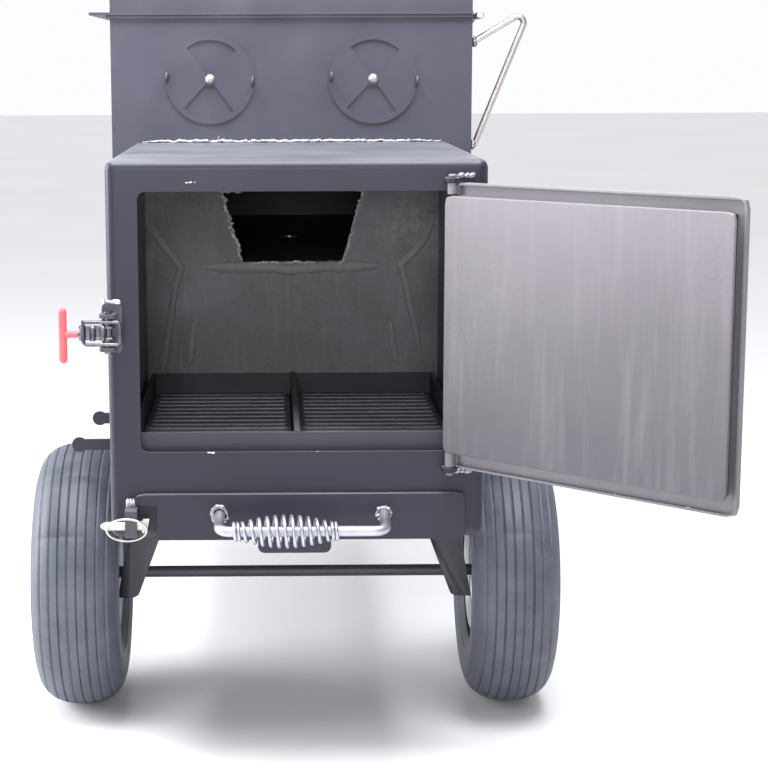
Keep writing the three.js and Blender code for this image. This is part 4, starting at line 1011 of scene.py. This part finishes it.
refined("latch_bracket", "frame", 0.9)
refined("latch_pivot_pin", "chrome", 0.5)
stand_for("latch_lever", latch_links(), "chrome")
stand_for("latch_grip", latch_handle(), "red")
stand_for("latch_bail", latch_hook(), "smoked", sharp=50)
weld("latch_weld", [(bracket[0].x + 2, FRONT - 2.5, bracket[1].z + 1), (bracket[1].x, FRONT - 2.5, bracket[1].z + 3)],
     3.2, "latch_bracket", ripple=7, rough=0.8)


# ---------------------------------------------------------------- dampers
def damper_ear(x, reach, tip):
    """A strip bent outwards from the disc, with a round end."""
    neck = 0.76 * tip
    turns = [math.radians(47 + 266 * i / 24) for i in range(25)]
    knob = [(tip - 9.5 - reach + tip * math.cos(t), tip * math.sin(t)) for t in turns]
    back = 0.8 - DAMPER["plate"]
    outline = [(back, -neck), (back, neck), (7 - reach, neck), *knob, (7 - reach, -neck)]
    return rounded(prism(outline, "X", x - 1.5, x + 1.5), 0.6, 3)


def damper_disc(tip, right_reach=DAMPER["ear"]):
    """A slotted disc about Y with its outer face at -Y and two ears bent outwards at its rim."""
    disc = prism(circle(DAMPER["r"], 120), "Y", -DAMPER["plate"], 0)
    fans = [prism(fan_outline(0, 0, DAMPER["inner"], DAMPER["vent"], centre, DAMPER["half"], 30), "Y", -9, 9)
            for centre in (90, 270)]
    hole = prism(circle(DAMPER["hole"], 32), "Y", -9, 9)
    at = DAMPER["r"] - 2.5
    return merged(rounded(carved(disc, *fans, hole), 0.3, 2), damper_ear(-at, DAMPER["ear"], tip),
                  damper_ear(at, right_reach, tip))


def damper_bolt(wall):
    """A domed bolt with a cross recess, its washer and nut behind the wall."""
    head = -DAMPER["plate"] - 0.6
    dome = [(0, head - 5), (2, head - 4.9), (4.2, head - 4.3), (6, head - 3), (7, head - 1.5), (7.3, head)]
    rest = [(3.8, head), (3.8, wall + 0.3), (8, wall + 0.3), (8, wall + 1.8), (6.5, wall + 1.8), (6.5, wall + 7),
            (0, wall + 7)]
    body = turned(dome + rest, 48, "Y")
    slots = [block((-a, head - 9, -b), (a, head - 3.6, b)) for a, b in ((3.4, 0.7), (0.7, 3.4))]
    return carved(body, *slots)


for side, word in ((-1, "left"), (1, "right")):
    at = Matrix.Translation((side * END_DAMPER["x"], CHAMBER_NEAR - 0.6, END_DAMPER["z"]))
    turn = Matrix.Rotation(math.radians(END_DAMPER["turn"]), 4, "Y")
    stand_for(f"end_damper_disc_{word}", damper_disc(DAMPER["end_tip"]), "chamber",
              moved=at @ turn)
    stand_for(f"end_damper_bolt_{word}", damper_bolt(4.3), "pale_zinc", moved=at)
at = Matrix.Translation(SIDE_DAMPER["place"]) @ Matrix.Rotation(-math.pi / 2, 4, "Z")
turn = Matrix.Rotation(math.radians(SIDE_DAMPER["turn"]), 4, "Y")
stand_for("side_damper_disc", damper_disc(DAMPER["side_tip"], DAMPER["long_ear"]), "casing", moved=at @ turn)
stand_for("side_damper_bolt", damper_bolt(SHEET + 0.3), "pale_zinc", moved=at)


# ---------------------------------------------------------------- chamber and lid
refined("chamber_tub", "chamber", 1.2)
refined("lid_shell", "chamber", 1.4)
hinge_low, hinge_high = span("lid_hinge_rod")
hinge_mid = (hinge_low + hinge_high) / 2
hinge_r = (hinge_high.x - hinge_low.x) / 2
hinge_rod = [(0, hinge_low.y), (hinge_r - 1, hinge_low.y), (hinge_r, hinge_low.y + 1),
             (hinge_r, hinge_high.y - 1), (hinge_r - 1, hinge_high.y), (0, hinge_high.y)]
stand_for("lid_hinge_rod", turned(hinge_rod, 40, "Y", (hinge_mid.x, 0, hinge_mid.z)), "oiled")
STOP = {"y": 492, "x": 262.5, "low": 775.5, "bend_x": 341, "bend_z": 970.5, "high": 924, "r": 4.5}
stop_route = [(STOP["x"], STOP["y"], STOP["low"]), (STOP["bend_x"], STOP["y"], STOP["bend_z"]),
              (STOP["x"], STOP["y"], STOP["high"])]
stand_for("lid_stop_rod", tube(bent(stop_route, 9, 14), STOP["r"], 24), "oiled", sharp=50)
for word, z in (("low", STOP["low"] + 2), ("high", STOP["high"] - 1)):
    foot_weld(f"stop_rod_weld_{word}", (260, STOP["y"], z), "X", STOP["r"], "chamber_tub")

slope_low = Vector((LID[0].x + 29, 0, 1080))
GAUGE = {"x": -203.5, "y": 932, "z": 1144, "r": 40, "face": 17}
SLOPE_RUN, SLOPE_RISE = 107, 128
outward = Vector((-SLOPE_RISE, 0, SLOPE_RUN)).normalized()
GAUGE_AT = Matrix.Translation((GAUGE["x"], GAUGE["y"], GAUGE["z"])) @ outward.to_track_quat("Z", "Y").to_matrix().to_4x4()


def gauge_case():
    r = GAUGE["r"]
    profile = [(0, -60), (3, -60), (3, -4), (6, -4), (6, 0.3), (r - 2, 0.3), (r - 0.6, 1), (r, 3), (r, 15),
               (r - 0.6, 17.5), (r - 3, 19), (r - 4.4, 18.6), (r - 5, 17.6), (r - 5, 14), (0, 14)]
    return turned(profile, 72)


def gauge_marks():
    """A plain dial: even ticks round three quarters of a turn and a needle."""
    parts = []
    for i in range(28):
        length = 5 if i % 3 == 0 else 3
        tick = block((-0.4, 29 - length, 15.2), (0.4, 29, 15.6))
        tick.transform(Matrix.Rotation(math.radians(135 - 10 * i), 4, "Z"))
        parts.append(tick)
    needle = prism([(-1.1, -7), (1.1, -7), (0.4, 25), (-0.4, 25)], "Z", 16, 16.6)
    needle.transform(Matrix.Rotation(math.radians(118), 4, "Z"))
    hub = turned([(0, 15.2), (3, 15.2), (3, 17), (2.4, 17.6), (0, 17.6)], 32)
    return merged(*parts, needle, hub)


stand_for("thermometer", gauge_case(), "zinc", moved=GAUGE_AT)
piece("thermometer_dial", turned([(0, 14.1), (34.8, 14.1), (34.8, 15.2), (0, 15.2)], 64), "dial", "thermometer",
      moved=GAUGE_AT)
piece("thermometer_marks", gauge_marks(), "frame", "thermometer", moved=GAUGE_AT)

LID_BAR = span("lid_handle_rod")
LID_COIL = span("lid_handle_spring")
lid_x, lid_z = LID_BAR[0].x + HANDLE["rod"], (LID_BAR[0].z + LID_BAR[1].z) / 2
lid_y0, lid_y1 = LID_BAR[0].y + HANDLE["rod"], LID_BAR[1].y - HANDLE["rod"]
lid_route = [(LID_BAR[1].x, lid_y0, lid_z), (lid_x, lid_y0, lid_z), (lid_x, lid_y1, lid_z),
             (LID_BAR[1].x, lid_y1, lid_z)]
stand_for("lid_handle_rod", tube(bent(lid_route, HANDLE["bend"]), HANDLE["rod"], 28), "nickel", sharp=50)
stand_for("lid_handle_spring", coil(LID_COIL[1].y - LID_COIL[0].y - 2 * HANDLE["coil"]), "nickel",
          moved=Matrix.Translation((lid_x, LID_COIL[0].y + HANDLE["coil"], lid_z)) @ Matrix.Rotation(math.pi / 2, 4, "Z"))
for word, y in (("near", lid_y0), ("far", lid_y1)):
    foot_weld(f"lid_handle_weld_{word}", (LID_BAR[1].x - 0.6, y, lid_z), "X", HANDLE["rod"] + 1, "lid_shell")
for word in ("near", "far"):
    refined(f"cooking_grate_{word}", "stainless", 1.8)


# ---------------------------------------------------------------- chimney and drain
pipe = span("chimney_pipe")
cap = span("chimney_cap")
elbow = span("chimney_elbow")
PIPE_R, PIPE_WALL = -pipe[0].x, 3
FLUE_Y = pipe[0].y + PIPE_R
pivot_x = pipe[1].x - 8


def chimney_pipe():
    low, high = pipe[0].z, pipe[1].z
    inner = PIPE_R - PIPE_WALL
    wall = [(inner, low), (PIPE_R, low), (PIPE_R, high - 0.8), (PIPE_R - 0.8, high), (inner + 0.8, high),
            (inner, high - 0.8), (inner, low)]
    lug = [(4.3, high - 30), (7.4, high - 30), (8, high - 29), (8, high - 1), (7.4, high), (4.3, high),
           (4.3, high - 30)]
    return merged(turned(wall, 96, "Z", (0, FLUE_Y, 0)), turned(lug, 32, "Z", (pivot_x, FLUE_Y, 0)))


def chimney_cap():
    low = pipe[1].z + 0.3
    high = low + SHEET
    lid = rounded(prism(circle(PIPE_R + 3, 96, 0, FLUE_Y), "Z", low, high), 0.8, 2)
    arm = rounded(prism(rect_outline(40, pivot_x + 8, FLUE_Y - 8, FLUE_Y + 8, 7.9), "Z", low + 0.2, high + 0.2), 0.6)
    pull = rounded(prism(rect_outline(cap[0].x, -PIPE_R + 6, FLUE_Y - 8, FLUE_Y + 8, 7), "Z", low + 0.2, high + 0.2), 0.6)
    pin = [(0, low - 34), (4, low - 34), (4, high + 3), (3.2, high + 4.6), (0, cap[1].z)]
    return merged(lid, arm, pull, turned(pin, 32, "Z", (pivot_x, FLUE_Y, 0)))


refined("chimney_elbow", "chamber", 1.6)
stand_for("chimney_pipe", chimney_pipe(), "chamber")
stand_for("chimney_cap", chimney_cap(), "chamber")
turns = [2 * math.pi * i / 40 for i in range(41)]
weld("chimney_weld", [(PIPE_R * math.cos(t), FLUE_Y + PIPE_R * math.sin(t), pipe[0].z + 1) for t in turns], 2.6,
     "chimney_pipe", ripple=6, rough=0.5, finish="dull_weld")
weld("elbow_weld", [(elbow[0].x, elbow[0].y + 1, elbow[0].z), (elbow[0].x, elbow[0].y + 1, elbow[1].z),
                    (elbow[1].x, elbow[0].y + 1, elbow[1].z), (elbow[1].x, elbow[0].y + 1, elbow[0].z)], 2.6,
     "chimney_elbow", ripple=6, rough=0.5, finish="dull_weld")
refined("drain_valve_body", "zinc", 0.8)
refined("drain_valve_lever", "red", 1.0)


# ---------------------------------------------------------------- wheels
AXLE_Y, AXLE_Z = joint_point("wheel_left_spin").y, joint_point("wheel_left_spin").z
TYRE = {"r": AXLE_Z, "rim": 85, "half": 59.2, "rib": 12.6, "groove": 2.2}


def tyre_section(steps=230):
    """(radius, across) round the section: ribbed tread and shoulders, side walls with two rings."""
    side = (TYRE["r"] - TYRE["rim"]) / 2
    centre = TYRE["rim"] + side
    points = []
    for i in range(steps + 1):
        angle = -128 + 256 * i / steps
        s, c = math.sin(math.radians(angle)), math.cos(math.radians(angle))
        across = math.copysign(abs(s) ** 0.9, s)
        up = math.copysign(abs(c) ** 0.8, c)
        place = (TYRE["half"] * across / TYRE["rib"]) % 1
        depth = 0.0
        if abs(angle) < 82:
            depth = TYRE["groove"] * max(0, 1 - abs(place - 0.5) / 0.1) ** 0.5
        elif 98 < abs(angle) < 101 or 112 < abs(angle) < 115:
            depth = 0.8
        points.append((centre + (side - depth) * up, (TYRE["half"] - depth) * across))
    inner = [(centre + (side - 9) * c, (TYRE["half"] - 8) * s) for s, c in
             ((math.sin(math.radians(a)), math.cos(math.radians(a))) for a in range(128, -129, -16))]
    return points + inner + points[:1]


def tyre_mesh():
    """The section turned about X, with a fine mould line across the tread every 30 degrees."""
    section = tyre_section()
    columns = []
    for k in range(12):
        columns += [(30 * k - 0.45, 0.0), (30 * k, 0.5), (30 * k + 0.45, 0.0)]
        columns += [(30 * k + step, 0.0) for step in (4.5, 8.6, 12.8, 17.1, 21.3, 25.5)]
    points = []
    for degrees, dip in columns:
        t = math.radians(degrees)
        for r, across in section:
            r -= dip if r > TYRE["r"] - 30 else 0
            points.append((across, r * math.sin(t), r * math.cos(t)))
    rows, count = len(section), len(columns)
    faces = [(i * rows + j, ((i + 1) % count) * rows + j, ((i + 1) % count) * rows + j + 1, i * rows + j + 1)
             for i in range(count) for j in range(rows - 1)]
    mesh = mesh_of(points, faces)
    bm = bmesh.new()
    bm.from_mesh(mesh)
    bmesh.ops.remove_doubles(bm, verts=bm.verts, dist=1e-4)
    bmesh.ops.recalc_face_normals(bm, faces=bm.faces)
    bm.to_mesh(mesh)
    bm.free()
    return mesh


def rim_mesh():
    """A pressed rim: hub tube, web, dropped barrel and rolled flanges."""
    half = [(8.3, -45), (18, -45), (20, -43), (20, -6), (23, -2.5), (64, -2.5), (70, -6), (71.5, -38), (76, -43),
            (82, -45), (84, -45.6), (84.6, -47), (83.4, -48), (80, -46.5), (74, -42)]
    section = half + [(r, -x) for r, x in reversed(half)] + half[:1]
    return turned(section, 72, "X")


for word in ("left", "right"):
    wheel_x = joint_point(f"wheel_{word}_spin").x
    at = Matrix.Translation((wheel_x, AXLE_Y, AXLE_Z))
    stand_for(f"tyre_{word}", tyre_mesh(), "rubber", moved=at, sharp=50, soften=False)
    stand_for(f"rim_{word}", rim_mesh(), "rim", moved=at)
    refined(f"axle_nut_{word}", "zinc", 1.0)
    refined(f"axle_bracket_{word}", "frame", 1.0)
axle = span("axle")
axle_r = (axle[1].z - axle[0].z) / 2
axle_bar = [(0, axle[0].x), (axle_r - 1, axle[0].x), (axle_r, axle[0].x + 1), (axle_r, axle[1].x - 1),
            (axle_r - 1, axle[1].x), (0, axle[1].x)]
stand_for("axle", turned(axle_bar, 48, "X", (0, AXLE_Y, AXLE_Z)), "frame")


# ---------------------------------------------------------------- legs, shelf and tow handle
for word in ("left", "right"):
    refined(f"far_leg_{word}", "frame", 1.5)
refined("bottom_shelf", "frame", 0.8)
tow = span("tow_handle")
TOW = {"r": 10, "bend": 30}
tow_z = (tow[0].z + tow[1].z) / 2
tow_x0, tow_x1, tow_y = tow[0].x + TOW["r"], tow[1].x - TOW["r"], tow[1].y - TOW["r"]
tow_route = [(tow_x0, tow[0].y, tow_z), (tow_x0, tow_y, tow_z), (tow_x1, tow_y, tow_z), (tow_x1, tow[0].y, tow_z)]
stand_for("tow_handle", tube(bent(tow_route, TOW["bend"], 14), TOW["r"], 32), "frame", sharp=50)
for word, x in (("left", tow_x0), ("right", tow_x1)):
    foot_weld(f"tow_handle_weld_{word}", (x, tow[0].y + 0.8, tow_z), "Y", TOW["r"] + 1, "tow_handle")


# ---------------------------------------------------------------- floor, light and camera
def floor():
    low, high = CAD_BOX
    size = 30
    points = [(-size, -size, 0), (size, -size, 0), (size, size, 0), (-size, size, 0)]
    mesh = mesh_of(points, [(0, 1, 2, 3)])
    ground = bpy.data.objects.new("floor", mesh)
    ground.location = ((low.x + high.x) / 2, (low.y + high.y) / 2, low.z - 0.0005)
    bpy.context.scene.collection.objects.link(ground)
    mesh.materials.append(pale_floor("pale_floor"))


def softbox(name, place, target, size, power, colour=(1, 1, 1)):
    data = bpy.data.lights.new(name, "AREA")
    data.shape = "RECTANGLE"
    data.size, data.size_y = size
    data.energy = power
    data.color = colour
    obj = bpy.data.objects.new(name, data)
    obj.location = place
    obj.rotation_euler = (Vector(target) - Vector(place)).to_track_quat("-Z", "Y").to_euler()
    bpy.context.scene.collection.objects.link(obj)


def studio():
    """A white room, a little darker behind the photographer, with a large lamp on the left and one above."""
    world = bpy.data.worlds.new("studio")
    bpy.context.scene.world = world
    world.use_nodes = True
    tree = world.node_tree
    background = tree.nodes["Background"]
    direction = tree.nodes.new("ShaderNodeTexCoord").outputs["Generated"]
    split = tree.nodes.new("ShaderNodeSeparateXYZ")
    tree.links.new(direction, split.inputs[0])
    ramp = tree.nodes.new("ShaderNodeMapRange")
    ramp.inputs["From Min"].default_value = -1.0
    ramp.inputs["From Max"].default_value = 0.1
    ramp.inputs["To Min"].default_value = ROOM["behind"]
    ramp.inputs["To Max"].default_value = ROOM["around"]
    tree.links.new(split.outputs["Y"], ramp.inputs["Value"])
    side = tree.nodes.new("ShaderNodeMapRange")
    side.inputs["From Min"].default_value = -0.6
    side.inputs["From Max"].default_value = 0.8
    side.inputs["To Min"].default_value = ROOM["left"]
    side.inputs["To Max"].default_value = ROOM["right"]
    tree.links.new(split.outputs["X"], side.inputs["Value"])
    shade = tree.nodes.new("ShaderNodeMath")
    shade.operation = "MULTIPLY"
    tree.links.new(ramp.outputs["Result"], shade.inputs[0])
    tree.links.new(side.outputs["Result"], shade.inputs[1])
    seen = tree.nodes.new("ShaderNodeLightPath").outputs["Is Camera Ray"]
    pick = tree.nodes.new("ShaderNodeMix")
    tree.links.new(seen, pick.inputs["Factor"])
    tree.links.new(shade.outputs[0], pick.inputs[2])
    pick.inputs[3].default_value = ROOM["seen"]
    tree.links.new(pick.outputs[0], background.inputs["Strength"])
    background.inputs["Color"].default_value = (0.97, 0.98, 1.0, 1)
    softbox("lamp_left", (-2.8, -0.1, 1.3), (0, -0.3, 0.6), (2.0, 2.0), 124, (0.97, 0.98, 1.0))
    softbox("lamp_above", (-0.1, -1.05, 2.4), (-0.05, -0.6, 0.8), (2.0, 1.2), 118, (0.95, 0.97, 1.0))
    softbox("lamp_front", (-0.25, -4.8, 1.35), (-0.05, -0.4, 0.6), (0.9, 0.9), 48)


ROOM = {"behind": 0.35, "around": 1.25, "left": 1.15, "right": 0.45, "seen": 1.0}
VIEW = {"place": (-31.6, -2251.4, 896.2), "yaw": 0.58, "pitch": 9.68, "roll": -0.22, "lens": 88.62,
        "shift": 0.1224}


def camera():
    yaw, pitch, roll = (math.radians(VIEW[k]) for k in ("yaw", "pitch", "roll"))
    ahead = Vector((math.sin(yaw) * math.cos(pitch), math.cos(yaw) * math.cos(pitch), -math.sin(pitch)))
    level = Vector((math.cos(yaw), -math.sin(yaw), 0))
    upright = level.cross(ahead)
    right = level * math.cos(roll) + upright * math.sin(roll)
    up = upright * math.cos(roll) - level * math.sin(roll)
    data = bpy.data.cameras.new("camera")
    data.sensor_width = 36
    data.lens = VIEW["lens"]
    data.shift_x = VIEW["shift"]
    obj = bpy.data.objects.new("camera", data)
    turn = Matrix((right, up, -ahead)).transposed().to_4x4()
    obj.matrix_world = Matrix.Translation(TO_ROW @ Vector(VIEW["place"])) @ turn
    bpy.context.scene.collection.objects.link(obj)
    bpy.context.scene.camera = obj


floor()
studio()
camera()
bpy.context.scene.view_settings.view_transform = "Standard"
